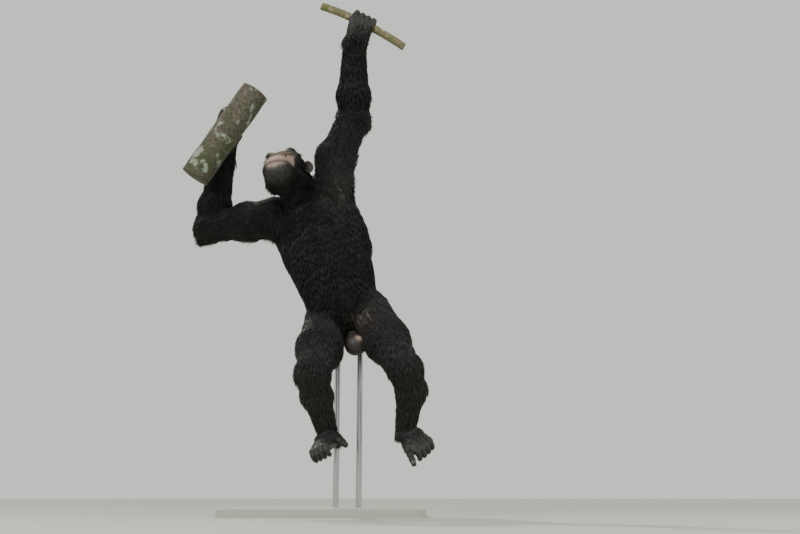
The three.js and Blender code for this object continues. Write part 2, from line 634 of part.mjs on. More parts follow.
// Limbs
const thighSolids = {};
for (const side of SIDES) {
  const armField = coated([...ARM_FORMS[side], ...TORSO_FORMS, ...(side === "right" ? NECK_FORMS : [])]);
  const upperField = side === "left" ? kept(armField, [flipped(NOTCH)]) : armField;
  const foreField = coated(ARM_FORMS[side]);
  const aim = side === "left" ? vec(0, -1, 0) : vec(0, 0, 1);
  const [s, e, w] = [SHOULDER[side], ELBOW[side], WRIST[side]];
  const upperCuts = [[flipped(ARM_ROOT[side])], [ELBOW_CUT[side]], ...(side === "left" ? [[flipped(NOTCH)]] : [])];
  addWithLocks("upper_arm_" + side, solidOf(limb(ARM_ROOT[side], ELBOW_CUT[side], 9, 16, aim, upperField)), {
    bone: [along(s, e, 0.25), along(s, e, 0.7)], rows: 2, around: 5, aim, field: armField,
    flow: () => towards(s, e), cuts: upperCuts,
  });
  addWithLocks("forearm_" + side, solidOf(limb(ELBOW_CUT[side], WRIST_CUT[side], 9, 14, vec(1, 0, 0), foreField)), {
    bone: [along(e, w, 0.3), along(e, w, 0.85)], rows: 2, around: 5, aim, field: foreField,
    flow: () => towards(w, e), cuts: [[flipped(ELBOW_CUT[side])], [WRIST_CUT[side]]],
  });
  const [h, k, a] = [HIP[side], KNEE[side], ANKLE[side]];
  const middle = side === "left" ? [flipped(MIDLINE)] : [MIDLINE];
  const thighField = kept(hipField, middle);
  const thigh = (grow) => limb(LEG_ROOT[side], KNEE_CUT[side], 9, 18, vec(1, 0, 0), (p) => thighField(p) - grow);
  thighSolids[side] = solidOf(thigh(GAP));
  addWithLocks("thigh_" + side, solidOf(thigh(0)), {
    bone: [along(h, k, 0.3), along(h, k, 0.75)], rows: 2, around: 5, aim: vec(0, 1, 0), field: hipField,
    flow: () => towards(h, k), cuts: [[flipped(LEG_ROOT[side])], [KNEE_CUT[side]], middle],
  });
  const shankField = coated(LEG_FORMS[side]);
  addWithLocks("shank_" + side, solidOf(limb(KNEE_CUT[side], ANKLE_CUT[side], 8, 14, vec(1, 0, 0), shankField)), {
    bone: [along(k, a, 0.12), along(k, a, 0.7)], rows: 2, around: 5, aim: vec(0, 1, 0), field: shankField,
    flow: () => towards(k, a), cuts: [[flipped(KNEE_CUT[side])], [ANKLE_CUT[side]]], length: 54,
  });
}

// Digits: a tapering tube with swollen joints and a rounded end, trimmed at the cuts it grows from
const DIGIT = { steps: 7, sides: 6, back: 9 };
function digit(name, path, thick, cuts, aim, away) {
  const [atRoot, atTip] = thick;
  const points = [];
  const radii = [];
  const back = towards(path(0.04), path(0));
  points.push(path(0).addScaledVector(back, DIGIT.back));
  radii.push(atRoot);
  for (let i = 0; i < DIGIT.steps; i += 1) {
    const t = i / (DIGIT.steps - 1);
    const joint = 0.07 * Math.exp(-(((t - 0.42) / 0.08) ** 2)) + 0.06 * Math.exp(-(((t - 0.72) / 0.07) ** 2));
    points.push(path(t * 0.985));
    radii.push((atRoot + (atTip - atRoot) * t) * (1 + joint) * (t > 0.95 ? 0.72 : 1));
  }
  points.push(path(1).addScaledVector(towards(path(0.98), path(1)), 1.5));
  radii.push(atTip * 0.3);
  let solid = solidOf(tube(points, radii, DIGIT.sides, aim)).intersect(beyond(cuts, -GAP / 2));
  for (const other of away) solid = solid.subtract(other);
  add(name, largest(solid), BARE_SKIN);
}
// A palm or a sole: a star solid between the limb's cut, the knuckles' cut and the thumb's
function extremity(name, centre, forms, root, knuckles, thumbCuts, away) {
  let solid = trunkNode(centre, 3, fieldOf(forms), [[flipped(root)], [knuckles], thumbCuts]);
  for (const other of away) solid = solid.subtract(other);
  add(name, largest(solid), BARE_SKIN);
}
const FOUR = [0, 1, 2, 3];
const FINGER = { pitch: 22, thick: [10.4, 8.2], length: [92, 101, 97, 84] };

// Left hand: hooked over the vine, its back to the front, its thumb towards the animal's left
const VINE_UP = vec(0.475, 0, 0.88).normalize();
const FRONTWARD = vec(0, -1, 0);
const VINE_GRIP = { radius: VINE.radius + 9.4, from: -22 };
const vineSpot = (s, angle, radius) => VINE.through.clone().addScaledVector(VINE.way, s)
  .addScaledVector(FRONTWARD, radius * Math.cos(degrees(angle)))
  .addScaledVector(VINE_UP, radius * Math.sin(degrees(angle)));
const leftKnuckle = FOUR.map((i) => vineSpot(FINGER.pitch * (1.5 - i), VINE_GRIP.from, VINE_GRIP.radius));
const knuckleWay = VINE_UP.clone().multiplyScalar(Math.cos(degrees(VINE_GRIP.from)))
  .addScaledVector(FRONTWARD, -Math.sin(degrees(VINE_GRIP.from)));
const KNUCKLES_LEFT = plane(leftKnuckle[0], knuckleWay);
const leftThumb = curl(vec(108, -124, 1618), vec(0.36, -0.1, 0.93).normalize(), vec(0.9, 0.2, -0.3), 50, -12, 6);
const THUMB_LEFT = [plane(leftThumb(0), vec(0.36, -0.1, 0.93)), plane(vec(102, -124, 1618), vec(0.95, 0, -0.3))];
const wristSpread = (side, offset, lift) => WRIST[side].clone().add(offset).addScaledVector(WRIST_CUT[side].normal, lift);
extremity("hand_left", along(WRIST.left, along(leftKnuckle[1], leftKnuckle[2], 0.5), 0.5), [
  ...FOUR.map((i) => bar(wristSpread("left", vec(8 * (1.5 - i), 0, 0), -10), leftKnuckle[i], 23, 12.5, 12)),
  bar(wristSpread("left", vec(12, 0, 0), 0), leftThumb(0.2), 20, 12, 12),
], WRIST_CUT.left, KNUCKLES_LEFT, THUMB_LEFT, [vineSolid(GAP)]);
FOUR.forEach((i) => {
  const turn = (360 * FINGER.length[i]) / (2 * Math.PI * VINE_GRIP.radius);
  const path = (t) => vineSpot(FINGER.pitch * (1.5 - i), VINE_GRIP.from + turn * t, VINE_GRIP.radius);
  digit("finger_left_" + (i + 1), path, FINGER.thick, [KNUCKLES_LEFT], VINE.way, [vineSolid(GAP)]);
});
digit("thumb_left", leftThumb, [10.5, 8.5], THUMB_LEFT, VINE.way, [vineSolid(GAP)]);

// Right hand: laid up the back of the trunk, its fingers round one side and its thumb round the other
const BEHIND = vec(0, 1, 0);
const TRUNK_SIDE = vec(-0.847, 0, 0.532).normalize();
const TRUNK_GRIP = { radius: TRUNK.radius + 9.4, lean: 27, over: 24, along: 14 };
const trunkSpot = (t, s, radius) => TRUNK.through.clone().addScaledVector(TRUNK.way, s)
  .addScaledVector(BEHIND, radius * Math.cos(t / TRUNK_GRIP.radius))
  .addScaledVector(TRUNK_SIDE, radius * Math.sin(t / TRUNK_GRIP.radius));
const [leanSin, leanCos] = [Math.sin(degrees(TRUNK_GRIP.lean)), Math.cos(degrees(TRUNK_GRIP.lean))];
const rightSpot = (i, d, radius = TRUNK_GRIP.radius) => {
  const row = FINGER.pitch * (i - 1.5);
  return trunkSpot(TRUNK_GRIP.over + row * leanCos + d * leanSin, TRUNK_GRIP.along - row * leanSin + d * leanCos, radius);
};
const rightMiddle = along(rightSpot(1, 0), rightSpot(2, 0), 0.5);
const KNUCKLES_RIGHT = plane(rightMiddle, along(rightSpot(1, 10), rightSpot(2, 10), 0.5).sub(rightMiddle));
const rightThumb = (t) => trunkSpot(-28 - 4 * t, -12 + 50 * t, TRUNK_GRIP.radius + 1);
const THUMB_RIGHT = [plane(rightThumb(0), towards(rightThumb(0), rightThumb(0.2))),
  plane(trunkSpot(-15, -12, TRUNK_GRIP.radius), trunkSpot(-40, -12, 66).sub(trunkSpot(-26, -12, 66)))];
extremity("hand_right", along(WRIST.right, rightMiddle, 0.45), [
  ...FOUR.map((i) => bar(wristSpread("right", vec(8 * (1.5 - i), 0, 0), -10), rightSpot(i, 0, 67), 23, 12.5, 12)),
  bar(wristSpread("right", vec(12, 0, 0), 0), rightThumb(0.15), 20, 12, 12),
], WRIST_CUT.right, KNUCKLES_RIGHT, THUMB_RIGHT, [trunkSolid(GAP)]);
FOUR.forEach((i) => {
  digit("finger_right_" + (i + 1), (t) => rightSpot(i, FINGER.length[i] * t), FINGER.thick, [KNUCKLES_RIGHT],
    TRUNK.way, [trunkSolid(GAP)]);
});
digit("thumb_right", rightThumb, [10.5, 8.5], THUMB_RIGHT, TRUNK.way, [trunkSolid(GAP)]);

// Feet: heel, sole, four curled toes and a grasping big toe
const FOOT = {
  left: { sole: vec(0.07, 0.83, -0.54), grip: vec(264, -50, 213), gripTip: vec(286, -96, 158) },
  right: { sole: vec(0.49, 0.25, -0.735), grip: vec(24, -84, 244), gripTip: vec(72, -112, 219) },
};
const TOE = { pitch: 19, outward: 6, thick: [9.3, 7.4], length: 39, ahead: [90, 90, 87, 82], under: 11 };
for (const side of SIDES) {
  const foot = FOOT[side];
  const way = FOOT_WAY[side];
  const sole = foot.sole.clone().addScaledVector(way, -foot.sole.dot(way)).normalize();
  const inner = sole.clone().cross(way).multiplyScalar(sign[side]);
  const ankle = ANKLE[side];
  const spot = (ahead, under, inward) => ankle.clone().addScaledVector(way, ahead)
    .addScaledVector(sole, under).addScaledVector(inner, inward);
  const roots = FOUR.map((i) => spot(TOE.ahead[i], TOE.under, TOE.pitch * (1.5 - i) - TOE.outward));
  const KNUCKLES = plane(spot(84, TOE.under, 0), way.clone().addScaledVector(sole, 0.25).addScaledVector(inner, -0.12));
  const gripWay = towards(foot.grip, foot.gripTip);
  const gripLength = foot.grip.distanceTo(foot.gripTip);
  const grip = curl(foot.grip, gripWay, sole, gripLength, -14, 14);
  const GRIP_CUTS = [plane(foot.grip, gripWay), plane(spot(0, 0, 17), inner)];
  extremity("foot_" + side, spot(34, 8, 2), [
    bar(along(ankle, KNEE[side], 0.08), spot(0, 10, 0), 28, 28, 14),
    bar(spot(0, 10, 0), spot(-34, 30, 0), 27, 23, 14),
    bar(spot(-30, 30, 0), spot(60, 24, -12), 21, 18, 14),
    ...roots.map((root, i) => bar(spot(12, 8, 5 * (1.5 - i)), root, 26, 11.5, 12)),
    bar(spot(20, 12, 8), grip(0.12), 22, 13, 14),
  ], ANKLE_CUT[side], KNUCKLES, GRIP_CUTS, []);
  FOUR.forEach((i) => {
    digit("toe_" + side + "_" + (i + 1), curl(roots[i], way, sole, TOE.length, 12, 138), TOE.thick, [KNUCKLES], inner, []);
  });
  digit("hallux_" + side, grip, [12, 9], GRIP_CUTS, inner, []);
}

// Scrotum, hung at the front of the crotch
const scrotumField = fieldOf([
  ball(PELVIS, [14, 60, -118], [37, 31, 34], 10),
  bar(vec(84, -50, 580), vec(90, -66, 552), 20, 22, 14),
]);
let scrotum = star(PELVIS.at(14, 60, -116), 2, scrotumField).subtract(pelvisSolid(GAP));
for (const side of SIDES) scrotum = scrotum.subtract(thighSolids[side]);
add("scrotum", largest(scrotum), PALE_SKIN);

// Stand: a board on the floor and two rods up to the seat
const outline = new THREE.Shape();
const [halfLength, halfWidth, corner] = [BASE.length / 2, BASE.width / 2, BASE.corner];
outline.absarc(halfLength - corner, halfWidth - corner, corner, 0, Math.PI / 2);
outline.absarc(corner - halfLength, halfWidth - corner, corner, Math.PI / 2, Math.PI);
outline.absarc(corner - halfLength, corner - halfWidth, corner, Math.PI, 1.5 * Math.PI);
outline.absarc(halfLength - corner, corner - halfWidth, corner, 1.5 * Math.PI, 2 * Math.PI);
const CHAMFER = 3;
const board = new THREE.ExtrudeGeometry(outline, {
  depth: BASE.thick - CHAMFER, curveSegments: 3, bevelEnabled: true, bevelThickness: CHAMFER, bevelSize: CHAMFER,
  bevelOffset: -CHAMFER, bevelSegments: 1,
});
const flatBottom = solidOf(board).subtract(beyond([plane(vec(0, 0, 0), vec(0, 0, -1))], 0));
add("stand_base", flatBottom, BOARD);
for (const side of SIDES) {
  const foot = vec(66 + sign[side] * ROD.apart / 2, 52, BASE.thick + GAP);
  const top = foot.clone().setZ(640);
  let rod = solidOf(tube([foot, top], [ROD.radius, ROD.radius], 20, vec(1, 0, 0)));
  rod = rod.subtract(pelvisSolid(GAP)).subtract(thighSolids[side]);
  add("stand_rod_" + side, largest(rod), STEEL);
}

export default part;
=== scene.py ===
"""Chimpanzee hanging from a vine and a leaning trunk: skin, coat, eyes, nails, perches, stand and light."""
import math

import bpy
import numpy as np
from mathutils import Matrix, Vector


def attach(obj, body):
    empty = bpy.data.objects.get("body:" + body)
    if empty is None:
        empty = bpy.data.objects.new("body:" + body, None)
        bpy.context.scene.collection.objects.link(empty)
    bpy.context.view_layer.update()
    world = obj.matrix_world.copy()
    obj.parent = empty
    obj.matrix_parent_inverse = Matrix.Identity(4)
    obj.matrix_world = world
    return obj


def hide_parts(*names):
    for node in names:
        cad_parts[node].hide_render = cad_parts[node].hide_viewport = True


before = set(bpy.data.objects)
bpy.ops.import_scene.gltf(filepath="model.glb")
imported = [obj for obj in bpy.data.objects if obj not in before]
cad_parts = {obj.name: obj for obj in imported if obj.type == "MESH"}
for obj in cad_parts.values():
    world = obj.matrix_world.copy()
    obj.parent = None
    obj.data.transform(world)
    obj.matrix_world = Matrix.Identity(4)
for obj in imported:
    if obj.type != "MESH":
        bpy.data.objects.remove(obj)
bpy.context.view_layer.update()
rng = np.random.default_rng(7)
MM = 0.001

# Camera
camera_data = bpy.data.cameras.new("camera")
camera_data.sensor_width = 36
camera_data.lens = 43.2
camera_data.clip_end = 60
camera = bpy.data.objects.new("camera", camera_data)
camera.location = (0.24, -3.2, 0.06)
camera.rotation_euler = (math.radians(103.5), 0, 0)
bpy.context.scene.collection.objects.link(camera)
bpy.context.scene.camera = camera


# Vectors, frames and forms, in mm
def vec(*values):
    return np.array(values, float)


def unit(v):
    return v / np.linalg.norm(v, axis=-1, keepdims=True)


def mix(a, b, share):
    return a + (b - a) * share


def ramp(low, high, x):
    t = np.clip((x - low) / (high - low), 0, 1)
    return t * t * (3 - 2 * t)


def turned_about(v, axis, angle):
    c, s = math.cos(angle), math.sin(angle)
    return v * c + np.cross(axis, v) * s + axis * np.dot(axis, v) * (1 - c)


class Frame:
    """Left, front and up of a part of the body. Yaw turns the front to the animal's right."""

    def __init__(self, origin, up, yaw, pitch=0.0, roll=0.0):
        yaw, pitch, roll = map(math.radians, (yaw, pitch, roll))
        self.origin, self.up = origin, unit(up)
        level = vec(-math.sin(yaw), -math.cos(yaw), 0)
        self.left = unit(np.cross(self.up, level))
        self.front = np.cross(self.left, self.up)
        self.up = turned_about(self.up, self.left, -pitch)
        self.front = turned_about(self.front, self.left, -pitch)
        self.up = turned_about(self.up, self.front, roll)
        self.left = turned_about(self.left, self.front, roll)

    def way(self, left, front, up):
        return self.left * left + self.front * front + self.up * up

    def at(self, left, front, up):
        return self.origin + self.way(left, front, up)

    def inside(self, p):
        q = p - self.origin
        return q @ self.left, q @ self.front, q @ self.up


PELVIS = Frame(vec(60, 5, 655), vec(-0.27, 0.08, 1), 8)
CHEST = Frame(vec(-62, 55, 1046), vec(-0.28, 0.1, 1), 22)
HEAD = Frame(vec(-150, -42, 1151), vec(0, 0, 1), 17, 21, 11)
SIDES = {"left": 1, "right": -1}
HIP = {"left": PELVIS.at(75, 0, 0), "right": PELVIS.at(-75, 0, 0)}
KNEE = {"left": vec(256, -135, 460), "right": vec(-38, -172, 440)}
ANKLE = {"left": vec(256, -20, 276), "right": vec(6, -50, 260)}
SHOULDER = {"left": CHEST.at(98, 45, 29), "right": CHEST.at(-129, 20, 23)}
ELBOW = {"left": vec(73, -9, 1370), "right": vec(-452, 182, 1027)}
WRIST = {"left": vec(80, -118, 1608), "right": vec(-408, 132, 1266)}
ARM_BOW = {"left": vec(-18, 0, -4), "right": vec(0, 0, 0)}
CALF_BOW = {"left": vec(18, 0, 0), "right": vec(-5, 0, 0)}


def bar(a, b, ra, rb, width=26.0):
    line = b - a
    square = line @ line

    def distance(p):
        q = p - a
        t = np.clip(q @ line / square, 0, 1)
        q = q - t[:, None] * line
        return np.sqrt(np.einsum("ij,ij->i", q, q)) - (ra + (rb - ra) * t)

    return distance, width, False


def ball(place, centre, radii, width=26.0):
    middle = place.at(*centre)
    axes = np.stack([place.left, place.front, place.up], 1)
    radii = np.array(radii, float)

    def distance(p):
        q = (p - middle) @ axes / radii
        near = np.sqrt(np.einsum("ij,ij->i", q, q))
        q = q / radii
        far = np.sqrt(np.einsum("ij,ij->i", q, q))
        return np.where(far > 1e-9, near * (near - 1) / np.maximum(far, 1e-9), -radii.min())

    return distance, width, False


def hollow(form):
    return form[0], form[1], True


def blended(a, b, width):
    share = np.maximum(width - np.abs(a - b), 0) / width
    return np.minimum(a, b) - share * share * width / 4


def field_of(forms):
    def field(p):
        total = None
        for distance, width, taken in forms:
            d = distance(p)
            if total is None:
                total = d
            elif taken:
                total = -blended(-total, d, width)
            else:
                total = blended(total, d, width)
        return total

    return field


# Flesh, the same forms as the solids
TORSO = [
    ball(CHEST, (2, 0, -128), (151, 112, 160)),
    ball(CHEST, (0, 4, -52), (132, 98, 104)),
    ball(PELVIS, (-2, 12, 128), (122, 108, 140), 80),
    ball(PELVIS, (-2, 0, 18), (106, 92, 90), 60),
    bar(CHEST.at(104, -12, -170), SHOULDER["left"], 44, 58),
    bar(CHEST.at(-104, -22, -150), SHOULDER["right"], 44, 56),
    bar(CHEST.at(48, 62, -72), mix(SHOULDER["left"], ELBOW["left"], 0.12), 44, 46),
    bar(CHEST.at(-52, 58, -72), mix(SHOULDER["right"], ELBOW["right"], 0.12), 44, 46),
    bar(CHEST.at(60, -62, -66), SHOULDER["left"], 46, 50),
    bar(CHEST.at(-66, -62, -62), SHOULDER["right"], 46, 50),
    bar(CHEST.at(0, -45, -60), CHEST.at(-14, 10, 62), 60, 56),
]
NECK = [
    bar(CHEST.at(-8, -12, 34), HEAD.at(0, -26, -4), 74, 58),
    bar(CHEST.at(-10, 38, 20), HEAD.at(0, 18, -46), 50, 38),
]
POINT = {
    "left": bar(ELBOW["left"] + vec(24, 22, -6), ELBOW["left"] + vec(10, 8, 30), 24, 30),
    "right": bar(ELBOW["right"] + vec(-24, 14, -18), ELBOW["right"] + vec(-4, 2, 24), 26, 32),
}
UPPER_ARM, FOREARM, THIGH, SHANK = {}, {}, {}, {}
for side, sign in SIDES.items():
    s, e, w = SHOULDER[side], ELBOW[side], WRIST[side]
    middle = mix(s, e, 0.42) + ARM_BOW[side]
    UPPER_ARM[side] = [bar(s, middle, 66, 60), bar(middle, e, 59, 46)]
    FOREARM[side] = [bar(e, mix(e, w, 0.32), 47, 48), bar(mix(e, w, 0.32), w, 48, 33), POINT[side]]
    h, k, a = HIP[side], KNEE[side], ANKLE[side]
    back = -PELVIS.front
    calf = mix(k, a, 0.32) + back * 8 + CALF_BOW[side]
    THIGH[side] = [
        bar(h, mix(h, k, 0.5), 68, 67),
        bar(mix(h, k, 0.5), k, 67, 47),
        bar(PELVIS.at(sign * 52, -42, -6), mix(h, k, 0.4) + back * 22, 58, 48),
    ]
    SHANK[side] = [bar(k, calf, 47, 43), bar(calf, a, 43, 28)]

EYE = (30.0, 60.0, 15.0)
EYE_RADIUS = 12.5


def eye_at(sign):
    return HEAD.at(sign * EYE[0], EYE[1], EYE[2])


HEAD_FORMS = [
    ball(HEAD, (0, -8, 24), (61, 74, 51), 14),
    ball(HEAD, (0, -32, 2), (58, 52, 54), 14),
    ball(HEAD, (0, 34, -10), (58, 46, 58), 16),
    bar(HEAD.at(0, 46, -36), HEAD.at(0, 88, -48), 46, 36, 16),
    ball(HEAD, (0, 90, -46), (42, 40, 31), 14),
    ball(HEAD, (0, 108, -41), (35, 19, 19), 10),
    ball(HEAD, (0, 97, -70), (32, 24, 21), 9),
    bar(HEAD.at(0, 20, -52), HEAD.at(0, 86, -74), 40, 26, 18),
    bar(HEAD.at(0, 62, 16), HEAD.at(0, 90, -16), 13, 12, 12),
    ball(HEAD, (0, 94, -20), (18, 13, 9), 8),
]
for s in (1, -1):
    HEAD_FORMS += [
        bar(HEAD.at(s * 6, 68, 30), HEAD.at(s * 34, 66, 33), 10, 10.5, 10),
        bar(HEAD.at(s * 34, 66, 33), HEAD.at(s * 54, 50, 22), 10.5, 9, 10),
        bar(HEAD.at(s * 46, 56, -6), HEAD.at(s * 60, 22, 0), 15, 11, 14),
        bar(HEAD.at(s * 46, 6, -48), HEAD.at(s * 26, 76, -62), 20, 20, 16),
    ]
for s in (1, -1):
    HEAD_FORMS.append(hollow(ball(HEAD, (s * EYE[0], 78, EYE[2]), (17, 14, 11), 9)))


def lids(s):
    """A thin shell over the eyeball, open in an almond between the upper and the lower lid."""
    centre = eye_at(s)
    gaze = unit(HEAD.way(s * 0.16, 1, -0.04))
    upper, lower = unit(gaze * 0.34 - HEAD.up * 0.94), unit(gaze * 0.42 + HEAD.up * 0.91)

    def distance(p):
        q = p - centre
        r = np.sqrt(np.einsum("ij,ij->i", q, q))
        return np.maximum(np.abs(r - EYE_RADIUS - 1.6) - 1.5, np.minimum(q @ upper, q @ lower))

    return distance, 3.0, False


def eyeball(s):
    centre = eye_at(s)
    return (lambda p: np.sqrt(((p - centre) ** 2).sum(1)) - EYE_RADIUS - 0.2), 0.8, True


def march(field, start, way, reach=200.0):
    """How far the flesh goes from start along way."""
    steps = np.arange(0, reach, 1.0)
    values = field(start + steps[:, None] * way)
    out = np.argmax(values > 0)
    return steps[out] if values[out] > 0 else reach


face_field = field_of(HEAD_FORMS + NECK)
mouth = []
for t in np.linspace(-1, 1, 17):
    angle = math.radians(78 * t)
    start, way = HEAD.at(0, 74, -56 + 9 * t * t), HEAD.way(math.sin(angle), math.cos(angle), 0)
    mouth.append(start + way * march(face_field, start, way))
FACE_CUTS = [hollow(bar(a, b, 1.8, 1.8, 5)) for a, b in zip(mouth[:-1], mouth[1:])]
for s in (1, -1):
    FACE_CUTS.append(hollow(bar(HEAD.at(s * 8, 107, -21), HEAD.at(s * 6, 90, -14), 4.2, 2.5, 4)))

# Hands and feet
# The perches: a point on the axis, the way it runs, and how far the middle stands over the ends
VINE = dict(through=vec(108, -96, 1694), way=unit(vec(0.88, 0, -0.475)), radius=14.0, half=165.0, bow=5e-4)
TRUNK = dict(through=vec(-384, 22, 1322), way=unit(vec(0.532, 0, 0.847)), radius=52.0, half=190.0, bow=0.0)
FINGER_LENGTH = (92, 101, 97, 84)
FINGER_PITCH = 22.0
KNUCKLE_OUT = 63.0
VINE_UP, FRONTWARD = unit(vec(0.475, 0, 0.88)), vec(0, -1, 0)
VINE_GRIP = VINE["radius"] + 9.4
VINE_START = -22.0


def vine_spot(s, angle):
    a = math.radians(angle)
    out = FRONTWARD * math.cos(a) + VINE_UP * math.sin(a)
    return VINE["through"] + VINE["way"] * s + out * VINE_GRIP, out


TRUNK_SIDE = unit(vec(-0.847, 0, 0.532))
TRUNK_GRIP = TRUNK["radius"] + 9.4
LEAN = math.radians(27)


def trunk_spot(t, s, radius=TRUNK_GRIP):
    a = t / TRUNK_GRIP
    out = vec(0, 1, 0) * math.cos(a) + TRUNK_SIDE * math.sin(a)
    return TRUNK["through"] + TRUNK["way"] * s + out * radius, out


def right_spot(i, d, radius=TRUNK_GRIP):
    row = FINGER_PITCH * (i - 1.5)
    sin, cos = math.sin(LEAN), math.cos(LEAN)
    return trunk_spot(24 + row * cos + d * sin, 14 - row * sin + d * cos, radius)


def curl(start, way, toward, length, low, high):
    """A path that turns from way to toward, and its outward side."""
    a, b = math.radians(low), math.radians(high)
    radius = length / (b - a)

    def spot(t):
        angle = a + (b - a) * t
        place = start + way * radius * (math.sin(angle) - math.sin(a))
        place = place + toward * radius * (math.cos(a) - math.cos(angle))
        return place, way * math.sin(angle) - toward * math.cos(angle)

    return spot


# Each digit: its path, and its radius at the root and at the tip
FINGER_THICK, THUMB_THICK, TOE_THICK, HALLUX_THICK = (10.2, 8.2), (10.5, 8.5), (9.3, 7.4), (12, 9)
digits = {}
left_knuckle, right_knuckle = [], []
for i in range(4):
    turn = 360 * FINGER_LENGTH[i] / (2 * math.pi * VINE_GRIP)
    across = FINGER_PITCH * (1.5 - i)
    digits[f"finger_left_{i + 1}"] = (
        lambda t, across=across, turn=turn: vine_spot(across, VINE_START + turn * t), *FINGER_THICK)
    digits[f"finger_right_{i + 1}"] = (lambda t, i=i: right_spot(i, FINGER_LENGTH[i] * t), *FINGER_THICK)
    left_knuckle.append(vine_spot(across, VINE_START)[0])
    right_knuckle.append(right_spot(i, 0, KNUCKLE_OUT)[0])
thumb_left = curl(vec(108, -124, 1618), unit(vec(0.36, -0.1, 0.93)), vec(0.9, 0.2, -0.3), 50, -12, 6)
digits["thumb_left"] = (thumb_left, *THUMB_THICK)
digits["thumb_right"] = (lambda t: trunk_spot(-28 - 4 * t, -12 + 50 * t, TRUNK_GRIP + 1), *THUMB_THICK)

wrist_way = {side: unit(WRIST[side] - ELBOW[side]) for side in SIDES}


def palm(side, knuckles, thumb_root):
    base = WRIST[side] - wrist_way[side] * 10
    forms = [bar(base + vec(8 * (1.5 - i), 0, 0), knuckles[i], 23, 12.5, 12) for i in range(4)]
    return forms + [bar(WRIST[side] + vec(12, 0, 0), thumb_root, 20, 12, 12)]


PAW = {
    "hand_left": palm("left", left_knuckle, thumb_left(0.2)[0]),
    "hand_right": palm("right", right_knuckle, digits["thumb_right"][0](0.15)[0]),
}
# The way the foot points, the way its sole faces, and the big toe's root and tip
FOOT = {
    "left": (vec(0.6, -0.53, -0.6), vec(0.07, 0.83, -0.54), vec(264, -50, 213), vec(286, -96, 158)),
    "right": (vec(-0.25, -0.84, -0.45), vec(0.49, 0.25, -0.735), vec(24, -84, 244), vec(72, -112, 219)),
}
TOE_AHEAD, TOE_UNDER, TOE_PITCH, TOE_LENGTH = (90, 90, 87, 82), 11, 19, 39
foot_frame, ankle_way = {}, {}
for side, sign in SIDES.items():
    way, sole, grip, tip = FOOT[side]
    way = unit(way)
    sole = unit(sole - way * (sole @ way))
    inner = np.cross(sole, way) * sign
    foot_frame[side] = (way, sole, inner)
    ankle_way[side] = unit(unit(ANKLE[side] - KNEE[side]) + way)

    def spot(ahead, under, inward, side=side, way=way, sole=sole, inner=inner):
        return ANKLE[side] + way * ahead + sole * under + inner * inward

    roots = [spot(TOE_AHEAD[i], TOE_UNDER, TOE_PITCH * (1.5 - i) - 6) for i in range(4)]
    for i in range(4):
        digits[f"toe_{side}_{i + 1}"] = (curl(roots[i], way, sole, TOE_LENGTH, 12, 138), *TOE_THICK)
    hallux = curl(grip, unit(tip - grip), sole, np.linalg.norm(tip - grip), -14, 14)
    digits[f"hallux_{side}"] = (hallux, *HALLUX_THICK)
    PAW["foot_" + side] = [
        bar(mix(ANKLE[side], KNEE[side], 0.08), spot(0, 10, 0), 28, 28, 14),
        bar(spot(0, 10, 0), spot(-34, 30, 0), 27, 23, 14),
        bar(spot(-30, 30, 0), spot(60, 24, -12), 21, 18, 14),
        *[bar(spot(12, 8, 5 * (1.5 - i)), roots[i], 26, 11.5, 12) for i in range(4)],
        bar(spot(20, 12, 8), hallux(0.12)[0], 22, 13, 14),
    ]


# How far along a digit, and how thick it is there against a plain taper
SWELL = (
    (0, 1.0), (0.16, 0.95), (0.3, 0.97), (0.42, 1.07),
    (0.55, 0.95), (0.7, 1.05), (0.8, 0.97), (0.93, 0.93))


def digit_forms(name):
    """A digit as bars that swell at its joints."""
    path, at_root, at_tip = digits[name]
    spots = [path(t)[0] for t, _ in SWELL]
    radii = [mix(at_root, at_tip, t) * k for t, k in SWELL]
    forms = []
    for j in range(len(SWELL) - 1):
        forms.append(bar(spots[j], spots[j + 1], radii[j], radii[j + 1], 7 if j == 0 else 2.5))
    return forms


DIGITS_OF = {}
for side in SIDES:
    DIGITS_OF["hand_" + side] = [n for n in digits if n.startswith(("finger_" + side, "thumb_" + side))]
    DIGITS_OF["foot_" + side] = [n for n in digits if n.startswith(("toe_" + side, "hallux_" + side))]


